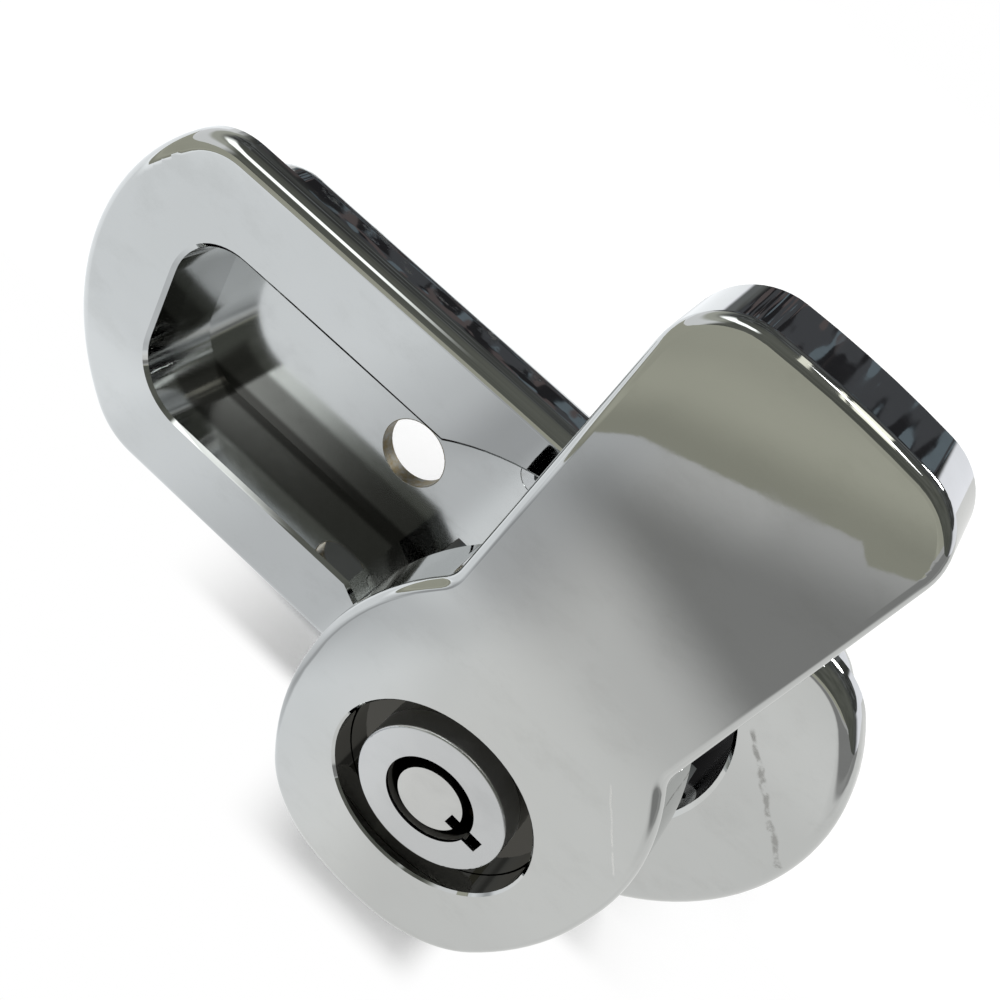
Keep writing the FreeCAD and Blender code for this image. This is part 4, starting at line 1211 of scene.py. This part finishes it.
@dataclass
class Studio:
    """The pale floor, the room that the chrome mirrors, the lamps and the camera."""

    floor_height: float = -0.0239
    floor_size: float = 8.0
    floor_glow: float = 0.08
    floor_pale: Triple = (0.97, 0.97, 0.97)
    paper: tuple[Triple, Triple] = ((0.8, 0.8, 0.8), (0.78, 0.78, 0.78))
    paper_scale: float = 6.0
    sky_strength: float = 0.78
    camera_place: Triple = (-0.00162188, -0.09828573, 0.08886727)
    camera_right: Triple = (0.73138421, 0.5186517, 0.44280645)
    camera_up: Triple = (-0.6732566, 0.44569452, 0.5899847)
    camera_back: Triple = (0.10864016, -0.72962786, 0.67515961)
    camera_sensor: float = 36.0
    camera_lens: float = 42.2915672
    camera_shift: tuple[float, float] = (0.05218661, 0.06406747)
    camera_reach: tuple[float, float] = (0.005, 50.0)

    def floor_seen_in_chrome(self, point: Point) -> Socket:
        """The floor's glow as the chrome mirrors it, with painted light and shade: a white sheet that ends
        in front of the lock.

        Args:
            point: the point on the floor.

        Returns:
            The colour.
        """
        tint = point.recipe.mix(SHEET_COOLING.share(point), SHEET_WARM, SHEET_COOL)
        sheet = point.recipe.scaled(tint, lit(SHEET_LIGHT, SHEET_TONES, point))
        cloud = (point.noise(TABLE_CLOUD_SCALE) - 0.5) * TABLE_CLOUD_LIGHT
        table = point.recipe.scaled(TABLE_TINT, lit(TABLE_LIGHT, TABLE_TONES, point) + cloud)
        ripple = (point.noise(RIPPLE_SCALE, 3.0) - 0.5) * RIPPLE_DEPTH
        notch = NOTCH.share(point) * point.measures["notch_depth"]
        beyond = (point.measures["gap"] - notch + ripple).between(0.0, -END_SOFTNESS)
        return point.recipe.mix(beyond, sheet, table)

    def contact_shadow(self, point: Point) -> Socket:
        """Where the floor keeps the shadow: beside and behind the lock, and just in front of it.

        Args:
            point: the point on the floor.

        Returns:
            1 where the shadow stays and 0 where it is washed out.
        """
        kept = agreed(SHADOW_PLACES[0], point)
        for edges in SHADOW_PLACES[1:]:
            kept = kept + (1.0 - kept) * agreed(edges, point)
        return kept * SHADOW_END.share(point)

    def floor(self) -> None:
        """The pale floor, with the white that the camera sees and the shadows kept."""
        deselect_all()
        bpy.ops.mesh.primitive_plane_add(size=self.floor_size, location=(0, 0, self.floor_height))
        sheet = bpy.context.object
        sheet.name = "floor"
        material = bpy.data.materials.new("pale_floor")
        recipe = Recipe(material)
        point = floor_point(recipe)
        tint = recipe.mix(point.noise(self.paper_scale), *self.paper)
        paper = recipe.add("ShaderNodeBsdfDiffuse", {}, {"Color": tint})
        pale = recipe.add("ShaderNodeBsdfDiffuse", {}, {"Color": self.floor_pale})
        shadowed = recipe.add("ShaderNodeAddShader", {}, {0: pale, 1: recipe.glow(WHITE, self.floor_glow)})
        seen = recipe.choice(self.contact_shadow(point), recipe.glow(WHITE), shadowed)
        # The chrome mirrors a glow with painted light and shade, not the lit floor.
        mirrored = recipe.glow(self.floor_seen_in_chrome(point))
        plain = recipe.choice(recipe.seen_by("Is Camera Ray"), paper, seen)
        surface = recipe.choice(recipe.seen_by("Is Glossy Ray"), plain, mirrored)
        recipe.node("ShaderNodeOutputMaterial", {}, {"Surface": surface})
        sheet.data.materials.append(material)

    def room(self) -> None:
        """The room: white to the camera, pale to the floor, and dim with bright spots to chrome."""
        world = bpy.data.worlds.new("room")
        bpy.context.scene.world = world
        recipe = Recipe(world)
        way = recipe.add("ShaderNodeTexCoord", {}, {}, "Generated")
        x, y, z = recipe.parts(way)
        point = Point(recipe, way, {"x": x, "y": y, "z": z})
        point.measures["sweep"] = SWEEP_RISE.share(point) * SWEEP_HEIGHT + SWEEP_FOOT - z
        tint = recipe.mix(ROOM_MOTTLE.share(point), ROOM_DARK, ROOM_PALE)
        for layer in ROOM_LAYERS:
            tint = layer.over(point, layer.share(point), tint)
        other = recipe.choice(recipe.seen_by("Is Glossy Ray"), recipe.sky(WHITE, self.sky_strength),
                              recipe.sky(tint))
        surface = recipe.choice(recipe.seen_by("Is Camera Ray"), other, recipe.sky(WHITE))
        recipe.node("ShaderNodeOutputWorld", {}, {"Surface": surface})

    def camera(self) -> None:
        """The camera at the photograph's place."""
        data = bpy.data.cameras.new("camera")
        data.sensor_width = self.camera_sensor
        data.lens = self.camera_lens
        data.shift_x, data.shift_y = self.camera_shift
        data.clip_start, data.clip_end = self.camera_reach
        holder = bpy.data.objects.new("camera", data)
        bpy.context.scene.collection.objects.link(holder)
        turned = Matrix((self.camera_right, self.camera_up, self.camera_back)).transposed().to_4x4()
        holder.matrix_world = Matrix.Translation(self.camera_place) @ turned
        bpy.context.scene.camera = holder

    def make(self) -> None:
        """Sets up the floor, the room, the lamps and the camera."""
        bpy.context.scene.view_settings.view_transform = "Standard"
        self.floor()
        self.room()
        for lamp in LAMPS:
            lamp.make()
        self.camera()
        LOG.info("studio: floor, room, lamps and camera")


def main() -> None:
    """Builds the sub-assemblies in order, then the studio."""
    logging.basicConfig(level=logging.INFO, format="%(name)s: %(message)s")
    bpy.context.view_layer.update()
    for assembly in (Escutcheon(), LeverHandle(), TubularCylinder(), RearBearing(), RotorAndCam()):
        assembly.make()
    Studio().make()


if __name__ == "__main__":
    main()
